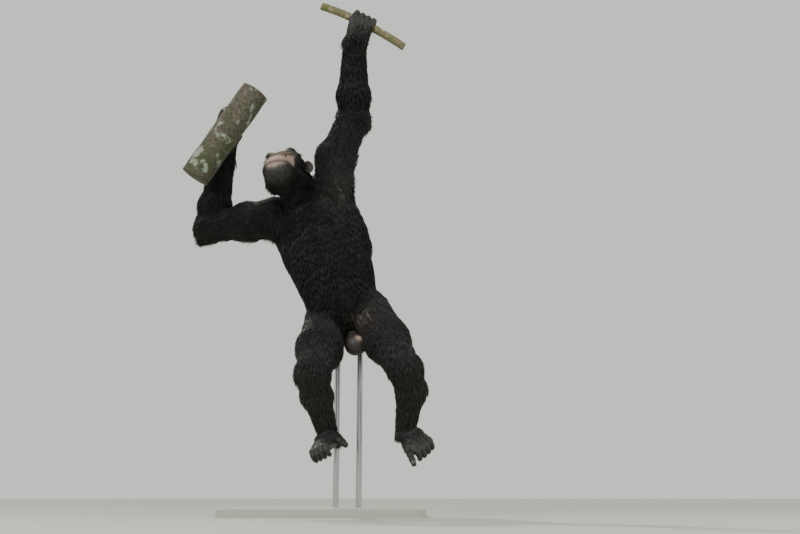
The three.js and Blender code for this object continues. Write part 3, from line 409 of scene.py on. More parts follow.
# Skin: a mesh of the field's surface
def lattice(field, low, high, step):
    """Vertices and quads of the surface where the field is zero, worked out only near that surface."""
    block = 8
    count = np.ceil((high - low) / step / block).astype(int)
    centres = np.stack(np.meshgrid(*[np.arange(n) for n in count], indexing="ij"), -1).reshape(-1, 3)
    coarse = evaluated(field, low + (centres * block + block / 2) * step)
    near = np.abs(coarse) < block * step * 1.25 + 3
    values = np.repeat(np.repeat(np.repeat(
        coarse.reshape(count), block, 0), block, 1), block, 2).astype(np.float32)
    offsets = np.stack(np.meshgrid(*[np.arange(block)] * 3, indexing="ij"), -1).reshape(-1, 3)
    index = (centres[near][:, None, :] * block + offsets[None]).reshape(-1, 3)
    values[index[:, 0], index[:, 1], index[:, 2]] = evaluated(field, low + index * step)
    within = values < 0
    corners = [within[i:i - 1 or None, j:j - 1 or None, k:k - 1 or None]
               for i in (0, 1) for j in (0, 1) for k in (0, 1)]
    total = np.sum(corners, axis=0)
    cells = np.argwhere((total > 0) & (total < 8))
    number = np.full(total.shape, -1, np.int64)
    number[tuple(cells.T)] = np.arange(len(cells))
    corner = np.array([(i, j, k) for i in (0, 1) for j in (0, 1) for k in (0, 1)])
    at = values[tuple((cells[:, None] + corner[None]).transpose(2, 0, 1))]
    place, hits = np.zeros((len(cells), 3)), np.zeros(len(cells))
    for a in range(8):
        for b in range(a + 1, 8):
            if np.abs(corner[a] - corner[b]).sum() != 1:
                continue
            cross = (at[:, a] < 0) != (at[:, b] < 0)
            t = at[:, a] / np.where(cross, at[:, a] - at[:, b], 1)
            spot = corner[a] + t[:, None] * (corner[b] - corner[a])
            place += np.where(cross[:, None], spot, 0)
            hits += cross
    vertices = low + (cells + place / hits[:, None]) * step
    quads = []
    for axis in range(3):
        one, two = np.eye(3, dtype=int)[(axis + 1) % 3], np.eye(3, dtype=int)[(axis + 2) % 3]
        ahead = np.eye(3, dtype=int)[axis]
        size = np.array(within.shape) - 1
        edges = np.argwhere(within[:size[0], :size[1], :size[2]] != within[
            ahead[0]:size[0] + ahead[0], ahead[1]:size[1] + ahead[1], ahead[2]:size[2] + ahead[2]])
        edges = edges[(edges[:, (axis + 1) % 3] > 0) & (edges[:, (axis + 2) % 3] > 0)]
        around = [edges, edges - one, edges - one - two, edges - two]
        quad = np.stack([number[tuple(c.T)] for c in around], 1)
        outward = within[tuple(edges.T)]
        quad[~outward] = quad[~outward][:, ::-1]
        quads.append(quad)
    quads = np.concatenate(quads)
    return vertices, quads[(quads >= 0).all(1)]


def evaluated(field, points, chunk=150000):
    return np.concatenate([field(points[i:i + chunk]) for i in range(0, len(points), chunk)])


TAPS = np.array([(1, -1, -1), (-1, -1, 1), (-1, 1, -1), (1, 1, 1)], float)


def slope(field, points, reach=0.6):
    return sum(tap * evaluated(field, points + tap * reach)[:, None] for tap in TAPS) / (4 * reach)


def settled(field, points, rounds=2):
    for _ in range(rounds):
        grad = slope(field, points)
        size = np.maximum((grad ** 2).sum(1), 0.2)
        points = points - grad * np.clip(evaluated(field, points) / size, -4, 4)[:, None]
    return points


def plane_height(p, point, normal):
    return (p - point) @ unit(normal)


def sphere_region(centre, radius):
    return lambda p: np.sqrt(((p - centre) ** 2).sum(1)) - radius


HEAD_SPOT = HEAD.at(0, 20, 0)
regions = {
    "head": lambda p: np.maximum.reduce([
        -plane_height(p, HEAD.at(0, -22, -46), HEAD.way(0, 0.62, 0.78)),
        plane_height(p, vec(-54, 0, 1150), vec(1, 0, 0.12)), sphere_region(HEAD_SPOT, 190)(p)]),
}
for side in SIDES:
    regions["hand_" + side] = lambda p, side=side: np.maximum(
        -plane_height(p, WRIST[side], wrist_way[side]), sphere_region(WRIST[side], 210)(p))
    regions["foot_" + side] = lambda p, side=side: np.maximum(
        -plane_height(p, ANKLE[side], ankle_way[side]), sphere_region(ANKLE[side], 190)(p))

both = list(SIDES)
body_forms = TORSO + NECK + [f for s in both for f in UPPER_ARM[s] + FOREARM[s] + THIGH[s] + SHANK[s]]
body_field = field_of(body_forms + HEAD_FORMS)
skin_fields = {"body": body_field}
for name, forms in PAW.items():
    side = name.split("_")[1]
    limb = FOREARM[side] if name.startswith("hand") else SHANK[side]
    skin_fields[name] = field_of(limb + forms + [f for n in DIGITS_OF[name] for f in digit_forms(n)])
face_parts = HEAD_FORMS + [lids(1), lids(-1)] + FACE_CUTS + [eyeball(1), eyeball(-1)]
head_field = skin_fields["head"] = field_of(TORSO + NECK + UPPER_ARM["right"] + face_parts)

STEP = {"body": 7.0, "head": 1.7, "paw": 2.0}


def shell(field, region, low, high, step, tuck=0.0):
    def cut(p):
        return np.maximum(field(p) + tuck, region(p))
    vertices, quads = lattice(cut, low, high, step)
    return settled(cut, vertices), quads


shells = {}


def outside_regions(p):
    """The body's shell runs on for 14 mm under the finer shells of the head, hands and feet."""
    return np.maximum.reduce([-(region(p) + 14) for region in regions.values()])


BODY_LOW, BODY_HIGH, BODY_TUCK = vec(-540, -270, 200), vec(380, 270, 1650), 0.8
shells["body"] = shell(body_field, outside_regions, BODY_LOW, BODY_HIGH, STEP["body"], BODY_TUCK)
shells["head"] = shell(head_field, regions["head"], HEAD_SPOT - 150, HEAD_SPOT + 150, STEP["head"])
for name in PAW:
    spots = np.array([digits[n][0](t)[0] for n in DIGITS_OF[name] for t in (0, 0.5, 1)]
                     + [WRIST[name[5:]] if name.startswith("hand") else ANKLE[name[5:]]])
    shells[name] = shell(skin_fields[name], regions[name], spots.min(0) - 62, spots.max(0) + 62, STEP["paw"])


# Markings, the same for skin and coat
def face_share(p):
    """1 on the bare face, 0 where the coat is full."""
    l, f, u = HEAD.inside(p)
    around = np.sqrt((l / 55) ** 2 + ((u + 14) / 62) ** 2)
    return (1 - ramp(0.8, 1.08, around)) * ramp(22, 42, f)


def paw_share(p, onto=0.0):
    """1 on the bare hands and feet, 0 above wrists and ankles. onto moves the change to the digits."""
    share = np.zeros(len(p))
    for side in SIDES:
        share = np.maximum(share, ramp(8 + onto, 46 + onto, plane_height(p, WRIST[side], wrist_way[side]))
                           * (1 - ramp(180, 200, sphere_region(WRIST[side], 0)(p))))
        share = np.maximum(share, ramp(4 + onto, 34 + onto, plane_height(p, ANKLE[side], ankle_way[side]))
                           * (1 - ramp(170, 190, sphere_region(ANKLE[side], 0)(p))))
    return share


def waves(p, size, seed):
    """Smooth noise from a few sines, about -1 to 1."""
    source = np.random.default_rng(seed)
    total = 0
    for _ in range(6):
        way = unit(source.normal(size=3)) / size * source.uniform(0.7, 1.6)
        total = total + np.sin(p @ way * 2 * math.pi + source.uniform(0, 6.28))
    return total / 3.2


GROIN = PELVIS.at(44, 78, -46)
ARMPIT = vec(36, -70, 1090)
SKIN_DARK = vec(0.020, 0.017, 0.016)
SKIN_BROWN = vec(0.085, 0.058, 0.046)
SKIN_PINK = vec(0.42, 0.285, 0.25)
SKIN_TAN = vec(0.080, 0.058, 0.050)
GREY_SKIN = vec(0.085, 0.062, 0.056)
HAND_SKIN = vec(0.020, 0.017, 0.017)
HAIR_BLACK = vec(0.0046, 0.0043, 0.0049)
HAIR_BROWN = vec(0.040, 0.036, 0.037)
HAIR_GREY = vec(0.150, 0.138, 0.128)
POUCH_SKIN = vec(0.018, 0.015, 0.015)
# How far the painted shade of the mouth's crease and the nostrils spreads, in mm
MOUTH_SHADE_REACH = 5.0


def colours(p, base, *layers):
    """The base colour with layers of (colour, share) laid on it in turn."""
    out = np.repeat(base[None], len(p), 0)
    for colour, share in layers:
        out = mix(out, colour, np.clip(share, 0, 1)[:, None])
    return out


def mouth_shade_share(p):
    """Painted shade: 1 in the crease of the mouth and in the nostrils, fading out over the lips."""
    lines = [bar(a, b, 0, 0) for a, b in zip(mouth[:-1], mouth[1:])]
    lines += [bar(HEAD.at(s * 8, 108, -22), HEAD.at(s * 6, 90, -14), 2, 0) for s in (1, -1)]
    near = np.full(len(p), 99.0)
    close = np.flatnonzero(face_share(p) > 0.05)
    for line in lines:
        near[close] = np.minimum(near[close], line[0](p[close]))
    return np.exp(-(near / MOUTH_SHADE_REACH) ** 2)


def skin_colour(p):
    l, f, u = HEAD.inside(p)
    muzzle = np.exp(-((l / 40) ** 2 + ((u + 46) / 30) ** 2 + (np.minimum(f - 88, 0) / 34) ** 2))
    brow = np.exp(-((u - 30) / 16) ** 2)
    groin = np.exp(-(sphere_region(GROIN, 0)(p) / 58) ** 2)
    pit = np.exp(-(sphere_region(ARMPIT, 0)(p) / 90) ** 2)
    face = face_share(p)
    mottle = 0.5 + 0.5 * waves(p, 26, 3)
    # The last layer is painted shade in the crease of the mouth and in the nostrils
    return colours(
        p, SKIN_DARK, (GREY_SKIN * 0.6, pit * 0.6), (GREY_SKIN, groin * 0.9), (HAND_SKIN, paw_share(p)),
        (SKIN_BROWN * 2.6, face), (SKIN_PINK, face * muzzle * (0.45 + 0.5 * mottle)),
        (SKIN_DARK * 2.0, face * brow * 0.6), (SKIN_BROWN * 0.5, mouth_shade_share(p) * 0.97))


# Meshes and materials
def new_mesh(name, vertices, faces, smooth=True):
    mesh = bpy.data.meshes.new(name)
    faces = np.asarray(faces)
    mesh.vertices.add(len(vertices))
    mesh.vertices.foreach_set("co", (np.asarray(vertices) * MM).astype(np.float32).ravel())
    mesh.loops.add(faces.size)
    mesh.loops.foreach_set("vertex_index", faces.astype(np.int32).ravel())
    mesh.polygons.add(len(faces))
    mesh.polygons.foreach_set("loop_start", np.arange(len(faces), dtype=np.int32) * faces.shape[1])
    mesh.update(calc_edges=True)
    mesh.polygons.foreach_set("use_smooth", np.full(len(faces), smooth))
    thing = bpy.data.objects.new(name, mesh)
    bpy.context.scene.collection.objects.link(thing)
    return thing


def paint(thing, colour):
    layer = thing.data.color_attributes.new("paint", "FLOAT_COLOR", "POINT")
    rgba = np.ones((len(thing.data.vertices), 4), np.float32)
    rgba[:, :3] = colour
    layer.data.foreach_set("color", rgba.ravel())


def material(name, roughness=0.6, **sockets):
    made = bpy.data.materials.new(name)
    made.use_nodes = True
    shader = made.node_tree.nodes["Principled BSDF"]
    shader.inputs["Roughness"].default_value = roughness
    for socket, value in sockets.items():
        shader.inputs[socket.replace("_", " ")].default_value = value
    return made, shader


def node(made, kind, **settings):
    item = made.node_tree.nodes.new(kind)
    for key, value in settings.items():
        if key in item.inputs:
            item.inputs[key].default_value = value
        else:
            setattr(item, key, value)
    return item


def link(made, a, b):
    made.node_tree.links.new(a, b)


def painted(made, shader):
    """The colours painted on the mesh as the material's base colour."""
    colour = node(made, "ShaderNodeVertexColor", layer_name="paint")
    link(made, colour.outputs["Color"], shader.inputs["Base Color"])


def bumped(made, shader, layers):
    """Bump from layers of (noise scale, detail, strength, distance), each on the one before."""
    coordinates = node(made, "ShaderNodeTexCoord")
    last = None
    for scale, detail, strength, distance in layers:
        noise = node(made, "ShaderNodeTexNoise", Scale=scale, Detail=detail, Roughness=0.6)
        link(made, coordinates.outputs["Object"], noise.inputs["Vector"])
        bump = node(made, "ShaderNodeBump", Strength=strength, Distance=distance)
        link(made, noise.outputs["Fac"], bump.inputs["Height"])
        if last is not None:
            link(made, last.outputs["Normal"], bump.inputs["Normal"])
        last = bump
    link(made, last.outputs["Normal"], shader.inputs["Normal"])


skin_material, shader = material("skin", 0.52, Specular_IOR_Level=0.45)
painted(skin_material, shader)
bumped(skin_material, shader, [(900, 4, 0.35, 0.0006), (180, 5, 0.4, 0.0014)])
coat_material, shader = material("coat", 0.56, Specular_IOR_Level=0.3)
painted(coat_material, shader)
eye_material, shader = material("eye", 0.06, Coat_Weight=1.0, Coat_Roughness=0.02)
painted(eye_material, shader)
nail_material, _ = material("nail", 0.35, Base_Color=(0.085, 0.070, 0.062, 1))

# The skin: the shells joined, with the ears and the scrotum
skin_vertices, skin_quads, offset = [], [], 0
for name, (vertices, quads) in shells.items():
    skin_vertices.append(vertices)
    skin_quads.append(quads + offset)
    offset += len(vertices)


def grid_faces(rings, sides):
    """Quads between rings of points, each ring closed on itself."""
    faces = []
    for r in range(rings - 1):
        for i in range(sides):
            j = (i + 1) % sides
            faces.append((r * sides + i, r * sides + j, (r + 1) * sides + j, (r + 1) * sides + i))
    return np.array(faces)


# Share of the ear's outline, height over its middle plane, and 1 where the inner fold shows
EAR_LEVELS = (
    (0.05, -17, 0), (0.25, -17, 0), (0.55, -15.5, 0), (0.8, -10, 0), (0.95, -5, 0), (1, -1, 0),
    (0.99, 1.6, 0), (0.94, 2.6, 0), (0.87, 1.2, 0), (0.82, -2, 0), (0.74, -4.5, 0), (0.66, -5, 1),
    (0.58, -5.2, 1), (0.48, -7.5, 1), (0.36, -11, 1), (0.22, -13, 1), (0.04, -13.5, 1))
EAR_WIDE, EAR_TALL, EAR_SIDES = 19, 26, 36


def ear(s):
    """A cup with a rolled rim and a raised inner fold."""
    out = unit(HEAD.way(s * 0.78, 0.6, 0.05))
    up = unit(HEAD.way(s * 0.16, -0.12, 1))
    across = unit(np.cross(out, up))
    centre = HEAD.at(s * 77, -4, 12)
    angles = np.arange(EAR_SIDES) * 2 * math.pi / EAR_SIDES
    rows = []
    for share, depth, fold in EAR_LEVELS:
        lobe = 1 - 0.1 * np.sin(angles) - 0.06 * fold * np.cos(2 * angles)
        ridge = depth + fold * 2.2 * np.exp(-((np.degrees(angles) % 360 - 120) / 40) ** 2)
        rows.append(centre + np.outer(EAR_WIDE * share * np.cos(angles), across)
                    + np.outer(EAR_TALL * share * np.sin(angles) * lobe, up) + np.outer(ridge * 0.85, out))
    faces = grid_faces(len(rows), EAR_SIDES)
    return np.concatenate(rows), faces[:, ::-1]


ear_start = offset
for s in (1, -1):
    vertices, faces = ear(s)
    skin_vertices.append(vertices)
    skin_quads.append(faces + offset)
    offset += len(vertices)
ear_end = offset

# The scrotum, a bag with a small pink tip above it
SCROTUM = PELVIS.at(14, 60, -118)
PINK_TIP = SCROTUM + vec(12, -26, 24)
pouch_field = field_of([
    ball(PELVIS, (14, 60, -118), (37, 31, 34), 10), bar(vec(84, -50, 580), vec(90, -66, 552), 20, 22, 14)])
vertices, quads = lattice(pouch_field, SCROTUM - 75, SCROTUM + 75, 2.5)
vertices = settled(pouch_field, vertices)
pouch_start = offset
skin_vertices.append(vertices)
skin_quads.append(quads + offset)
offset += len(vertices)

skin_vertices, skin_quads = np.concatenate(skin_vertices), np.concatenate(skin_quads)
skin = new_mesh("skin", skin_vertices, skin_quads)
skin_paint = skin_colour(skin_vertices)
ear_rim = SKIN_TAN * (0.85 + 0.15 * waves(skin_vertices[ear_start:ear_end], 20, 5))[:, None]
skin_paint[ear_start:ear_end] = ear_rim
pouch = skin_vertices[pouch_start:]
skin_paint[pouch_start:] = colours(
    pouch, POUCH_SKIN, (SKIN_BROWN * 0.6, 0.35 + 0.35 * waves(pouch, 16, 6)),
    (SKIN_PINK * 1.3, np.exp(-(sphere_region(PINK_TIP, 0)(pouch) / 11) ** 2)))
paint(skin, skin_paint)
skin.data.materials.append(skin_material)
flesh_nodes = [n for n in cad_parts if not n.startswith(("stand", "perch", "eye"))]
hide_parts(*flesh_nodes)
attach(skin, "root")

# Eyes
PUPIL, IRIS, EYE_WHITE = (0.002, 0.002, 0.002), (0.11, 0.042, 0.014), (0.030, 0.018, 0.012)
EYE_RINGS = (0.5, 3, 6, 9, 10, 14, 18, 22, 25, 27, 33, 45, 60, 80, 100, 125, 150, 179)
EYE_SIDES = 32
eye_vertices, eye_faces, eye_paint, offset = [], [], [], 0
for s in (1, -1):
    gaze = unit(HEAD.way(s * 0.06, 1, -0.1))
    side_way = unit(np.cross(gaze, HEAD.up))
    top = np.cross(side_way, gaze)
    rows, row_paint = [], []
    for polar in EYE_RINGS:
        a = math.radians(polar)
        turns = np.arange(EYE_SIDES) * 2 * math.pi / EYE_SIDES
        bulge = EYE_RADIUS + 0.9 * math.exp(-(polar / 24) ** 4)
        ring = np.outer(np.cos(turns), side_way) + np.outer(np.sin(turns), top)
        rows.append(eye_at(s) + bulge * (gaze * math.cos(a) + ring * math.sin(a)))
        tone = PUPIL if polar < 9.5 else IRIS if polar < 26 else EYE_WHITE
        row_paint.append(np.tile(tone, (EYE_SIDES, 1)))
    eye_vertices.append(np.concatenate(rows))
    eye_faces.append(grid_faces(len(rows), EYE_SIDES) + offset)
    eye_paint.append(np.concatenate(row_paint))
    offset += len(rows) * EYE_SIDES
eyes = new_mesh("eyes", np.concatenate(eye_vertices), np.concatenate(eye_faces)[:, ::-1])
paint(eyes, np.concatenate(eye_paint))
eyes.data.materials.append(eye_material)
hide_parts("eye_left", "eye_right")
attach(eyes, "root")

# Nails
NAIL_ROWS, NAIL_SPOTS, NAIL_HALF_LENGTH = 9, 7, 6.5
nail_vertices, nail_faces, offset = [], [], 0
for name, (path, at_root, at_tip) in digits.items():
    spot, out = path(0.86)
    ahead = unit(path(0.92)[0] - path(0.8)[0])
    across = unit(np.cross(out, ahead))
    wide = at_tip * (0.66 if "hallux" not in name else 0.8)
    rows = []
    for a in np.linspace(-1, 1, NAIL_ROWS):
        for b in np.linspace(-1, 1, NAIL_SPOTS):
            lift = at_tip * (0.93 + 0.1 * (1 - b * b)) - 0.42 * wide * a * a
            long_way = NAIL_HALF_LENGTH * b * (1 - 0.12 * a * a)
            rows.append(spot + across * wide * a * (1 - 0.1 * (b < -0.9)) + ahead * long_way + out * lift)
    nail_vertices.append(np.array(rows))
    corners = [i * NAIL_SPOTS + j for i in range(NAIL_ROWS - 1) for j in range(NAIL_SPOTS - 1)]
    nail_faces.append(np.array([(c, c + 1, c + NAIL_SPOTS + 1, c + NAIL_SPOTS) for c in corners]) + offset)
    offset += len(rows)
nails = new_mesh("nails", np.concatenate(nail_vertices), np.concatenate(nail_faces))
nails.data.materials.append(nail_material)
thick = nails.modifiers.new("thick", "SOLIDIFY")
thick.thickness = 0.0008
thick.offset = 0
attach(nails, "root")

# Coat: the parts of the body, the way the hair lies on each, and its length there
groups = {"torso": field_of(TORSO), "neck": field_of(NECK), "head": field_of(HEAD_FORMS)}
for side in SIDES:
    groups["upper_" + side] = field_of(UPPER_ARM[side])
    groups["fore_" + side] = field_of(FOREARM[side])
    groups["thigh_" + side] = field_of(THIGH[side])
    groups["shank_" + side] = field_of(SHANK[side])
FLOWS = {"torso": -PELVIS.up, "neck": unit(CHEST.way(0, -0.45, -1))}
for side in SIDES:
    FLOWS["upper_" + side] = unit(ELBOW[side] - SHOULDER[side])
    FLOWS["fore_" + side] = unit(ELBOW[side] - WRIST[side])
    FLOWS["thigh_" + side] = unit(unit(KNEE[side] - HIP[side]) - PELVIS.front * 0.35)
    FLOWS["shank_" + side] = unit(unit(ANKLE[side] - KNEE[side]) - PELVIS.front * 0.25)
LENGTHS = {"torso": 34, "neck": 30, "head": 17, "upper_left": 34, "upper_right": 36, "fore_left": 34,
           "fore_right": 38, "thigh_left": 30, "thigh_right": 30, "shank_left": 27, "shank_right": 27}


# Clumps turn the lie of neighbouring tufts alike: size, first seed and strength; STRAY turns each on its own
CLUMPS = ((34, 11, 0.13), (9, 14, 0.09))
STRAY = 0.07
RISE = (24, 15, 4)
SEGMENTS = len(RISE)
WIDTHS = (0.9, 1.0, 0.62)
CROSS_SECTION = ((1, -0.15), (-1, -0.15), (0, 0.5))
POINTS = 3 * len(WIDTHS) + 1


def head_flow(p):
    """Back over the crown, out and down over the cheeks, forward and down on the jaw."""
    l, f, u = HEAD.inside(p)
    flow = (-HEAD.front * ramp(-30, 40, u)[:, None] * 1.2
            - HEAD.up * (1 - ramp(-60, 50, u))[:, None]
            + HEAD.left * (np.sign(l) * 0.35)[:, None]
            - HEAD.front * 0.25)
    return unit(flow - HEAD.up * 0.12)


def coat_facts(p):
    """The coat's lie and length at each root, blended between the parts of the body, and the nearest part."""
    names = list(groups)
    distances = np.stack([evaluated(groups[g], p) for g in names])
    weights = np.exp(-(distances - distances.min(0)) / 12)
    weights /= weights.sum(0)
    flow, length = np.zeros_like(p), np.zeros(len(p))
    for name, weight in zip(names, weights):
        way = head_flow(p) if name == "head" else FLOWS[name]
        flow += weight[:, None] * way
        length += weight * LENGTHS[name]
    owner = distances.argmin(0)
    return flow, length, owner, names


def scatter(vertices, quads, amount):
    """Random points spread evenly over the quads."""
    a, b, c, d = (vertices[quads[:, i]] for i in range(4))
    tri = np.concatenate([np.stack([a, b, c], 1), np.stack([a, c, d], 1)])
    area = np.linalg.norm(np.cross(tri[:, 1] - tri[:, 0], tri[:, 2] - tri[:, 0]), axis=1) / 2
    chosen = rng.choice(len(tri), amount, p=area / area.sum())
    r1, r2 = np.sqrt(rng.random(amount)), rng.random(amount)
    a, b, c = (tri[chosen, i] for i in range(3))
    return a * (1 - r1)[:, None] + b * (r1 * (1 - r2))[:, None] + c * (r1 * r2)[:, None]


TUFT_ROOM = 14.2
HEAD_DENSITY = 1.5
OFF_SKIN = 3.5
EYE_CLEAR = 26
PIT_THINNER, GROIN_THINNER = 0.25, 0.7
BACK_LONGER, CHEEK_LONGER, CHIN_LENGTH = 0.25, 9, 6.5
FACE_SHORTER, PAW_SHORTER, PIT_SHORTER, GROIN_SHORTER = 0.55, 0.62, 0.3, 0.4
roots, normals = [], []
for name, (vertices, quads) in shells.items():
    one, two = (vertices[quads[:, i]] - vertices[quads[:, 0]] for i in (1, 2))
    doubled_area = np.linalg.norm(np.cross(one, two), axis=1).sum()
    density = HEAD_DENSITY if name == "head" else 1.0
    amount = int(doubled_area / TUFT_ROOM * density)
    spots = scatter(vertices, quads, amount)
    field = skin_fields[name]
    on = np.abs(evaluated(field, spots)) < OFF_SKIN
    if name == "body":
        on &= np.minimum.reduce([region(spots) for region in regions.values()]) > -1
    spots = spots[on]
    roots.append(spots)
    normals.append(unit(slope(field, spots, 2.0)))
roots, normals = np.concatenate(roots), np.concatenate(normals)
face, paw = face_share(roots), paw_share(roots, 34)
under = np.zeros(len(roots))
for side in SIDES:
    for joint, inward in ((WRIST[side], vec(0, SIDES[side], 0)), (ANKLE[side], foot_frame[side][1])):
        near = 1 - ramp(170, 190, sphere_region(joint, 0)(roots))
        under = np.maximum(under, near * paw_share(roots) * ramp(-0.1, 0.3, normals @ inward))
pit = np.exp(-(sphere_region(ARMPIT, 0)(roots) / 75) ** 2)
groin = np.exp(-(sphere_region(GROIN, 0)(roots) / 50) ** 2)
near_eye = np.minimum(*[sphere_region(eye_at(s), EYE_CLEAR)(roots) for s in (1, -1)]) < 0
chin = face * ramp(-62, -76, HEAD.inside(roots)[2]) * 0.85
chance = (1 - face) * (1 - paw) * (1 - under) * (1 - pit * PIT_THINNER) * (1 - groin * GROIN_THINNER)
chance = np.maximum(chance, chin)
chance[near_eye] = 0
kept = rng.random(len(roots)) < chance
roots, normals, face, pit, groin, chin = (x[kept] for x in (roots, normals, face, pit, groin, chin))
flow, length, owner, group_names = coat_facts(roots)
l, f, u = HEAD.inside(roots)
is_head = np.array([g == "head" for g in group_names])[owner]
on_back = ramp(-0.2, 0.6, -(normals @ CHEST.front))
cheek = is_head * np.exp(-((u + 22) / 34) ** 2) * ramp(34, 52, np.abs(l)) * ramp(-60, 0, f)
length = length * (1 + BACK_LONGER * on_back * ~is_head) + CHEEK_LONGER * cheek
length *= (1 - FACE_SHORTER * face) * (1 - PAW_SHORTER * paw_share(roots))
length *= 1 - PIT_SHORTER * pit - GROIN_SHORTER * groin
length = np.where(chin > 0.05, CHIN_LENGTH, length) * rng.uniform(0.75, 1.2, len(roots))
clump = 0
for size, seed, strength in CLUMPS:
    clump = clump + np.stack([waves(roots, size, seed + i) for i in range(3)], 1) * strength
flow = flow + clump + rng.normal(size=flow.shape) * STRAY
lie = unit(flow - normals * np.einsum("ij,ij->i", flow, normals)[:, None])
across = np.cross(lie, normals)
angles = np.radians(np.tile(np.array(RISE, float), (len(roots), 1)))
angles[:, 0] = np.radians(RISE[0] + 7 * waves(roots, 20, 21)) + cheek * 0.35
drop = np.array([0, 0, -1.0])
paths = [roots - normals * 1.0]
for k in range(SEGMENTS):
    step_way = lie * np.cos(angles[:, k])[:, None] + normals * np.sin(angles[:, k])[:, None]
    step_way = unit(step_way + drop * (0.06 + 0.10 * k))
    paths.append(paths[-1] + step_way * (length / SEGMENTS)[:, None])
half = np.clip(0.55 + length * 0.025, 0.6, 1.5) * rng.uniform(0.8, 1.25, len(roots))
strand = np.zeros((len(roots), POINTS, 3))
for k, width in enumerate(WIDTHS):
    for j, (side_share, lift_share) in enumerate(CROSS_SECTION):
        sideways = across * (half * width * side_share)[:, None]
        strand[:, k * 3 + j] = paths[k] + sideways + normals * (half * width * lift_share)[:, None]
strand[:, POINTS - 1] = paths[SEGMENTS]
STRAND_TRIANGLES = []
for k in range(2):
    for j in range(3):
        a, b = k * 3 + j, k * 3 + (j + 1) % 3
        STRAND_TRIANGLES += [(a, b, b + 3), (a, b + 3, a + 3)]
STRAND_TRIANGLES += [(6, 7, 9), (7, 8, 9), (8, 6, 9)]
STRAND_TRIANGLES = np.array(STRAND_TRIANGLES)[:, ::-1]

leg = np.array([g.startswith(("thigh", "shank")) for g in group_names])[owner]
fore = np.array([g.startswith("fore") for g in group_names])[owner]
brown = 0.04 + 0.50 * leg + 0.08 * fore + 0.45 * pit + 0.08 * waves(roots, 60, 31)
jaw = is_head * ramp(-46, -70, u) * ramp(44, 96, f) * ramp(62, 34, np.abs(l))
root_tone = colours(
    roots, HAIR_BLACK, (HAIR_BROWN, brown * 0.8), (HAIR_GREY * 0.42, jaw), (HAIR_GREY, 0.9 * (chin > 0.05)))
root_tone = mix(root_tone, GREY_SKIN * 0.6, (groin * 0.3)[:, None])
root_tone = root_tone * rng.uniform(0.7, 1.35, len(roots))[:, None]
# Lighter brown towards the tips: partly the coat's own brown, partly a painted halo of back light through the
# tips of the hair
tip_halo_share = np.clip(0.10 + brown * 0.6, 0, 1) * (1 - jaw)
tip_tone_with_halo = mix(root_tone, HAIR_BROWN * 1.3, tip_halo_share[:, None])
TONE_ALONG = (0, 0, 0, 0.35, 0.35, 0.35, 0.7, 0.7, 0.7, 1)
tones = np.stack([mix(root_tone, tip_tone_with_halo, t) for t in TONE_ALONG], 1)

# Where each tuft sits on an unwrap of the skin: one cell for each part of the body, round and along it
AXES = {"torso": (PELVIS.at(0, 0, -80), CHEST.at(0, 0, 60)), "neck": (CHEST.at(0, 0, 0), HEAD.at(0, 0, 20)),
        "head": (HEAD.at(0, 0, -100), HEAD.at(0, 0, 100))}
for side in SIDES:
    AXES["upper_" + side] = (SHOULDER[side], ELBOW[side])
    AXES["fore_" + side] = (ELBOW[side], WRIST[side])
    AXES["thigh_" + side] = (HIP[side], KNEE[side])
    AXES["shank_" + side] = (KNEE[side], ANKLE[side])


def unwrapped(p, owner):
    uv = np.zeros((len(p), 2))
    for g, name in enumerate(group_names):
        mine = owner == g
        low, high = AXES[name]
        axis = unit(high - low)
        one = unit(np.cross(axis, vec(0.3, 1, 0.2)))
        two = np.cross(axis, one)
        q = p[mine] - low
        around = np.arctan2(q @ two, q @ one) / (2 * math.pi) + 0.5
        along = np.clip((q @ axis + 60) / (np.linalg.norm(high - low) + 120), 0, 1)
        column, row = g % 4, g // 4
        uv[mine] = np.stack([(column + 0.03 + 0.94 * around) / 4, (row + 0.03 + 0.94 * along) / 3], 1)
    return uv


root_uv = unwrapped(roots, owner)
PATCH_HALF = 0.0015
PATCH = PATCH_HALF * np.array([
    (-1, -1), (1, -1), (0, 1), (-1, -0.4), (1, -0.4), (0, 1), (-0.6, 0.2), (0.6, 0.2), (0, 1), (0, 1)])
MOST_IN_A_PIECE = 12800
COAT_OF = {"head": "head", "neck": "head", "torso": "torso"}
for side in SIDES:
    COAT_OF.update({"upper_" + side: "arm_" + side, "fore_" + side: "arm_" + side,
                    "thigh_" + side: "leg_" + side, "shank_" + side: "leg_" + side})
coat_name = np.array([COAT_OF[g] for g in group_names])[owner]
for part_name in sorted(set(coat_name)):
    mine = np.flatnonzero(coat_name == part_name)
    mine = mine[np.argsort(roots[mine, 2])]
    for number, chosen in enumerate(np.array_split(mine, max(1, math.ceil(len(mine) / MOST_IN_A_PIECE)))):
        vertices = strand[chosen].reshape(-1, 3)
        faces = (STRAND_TRIANGLES[None] + (np.arange(len(chosen)) * POINTS)[:, None, None]).reshape(-1, 3)
        tuft = new_mesh(f"coat_{part_name}_{number + 1}", vertices, faces)
        paint(tuft, tones[chosen].reshape(-1, 3))
        layer = tuft.data.uv_layers.new(name="OFBake")
        uv = (root_uv[chosen][:, None] + PATCH[None]).reshape(-1, 2)[faces.ravel()]
        layer.data.foreach_set("uv", uv.astype(np.float32).ravel())
        tuft.data.materials.append(coat_material)
        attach(tuft, "root")


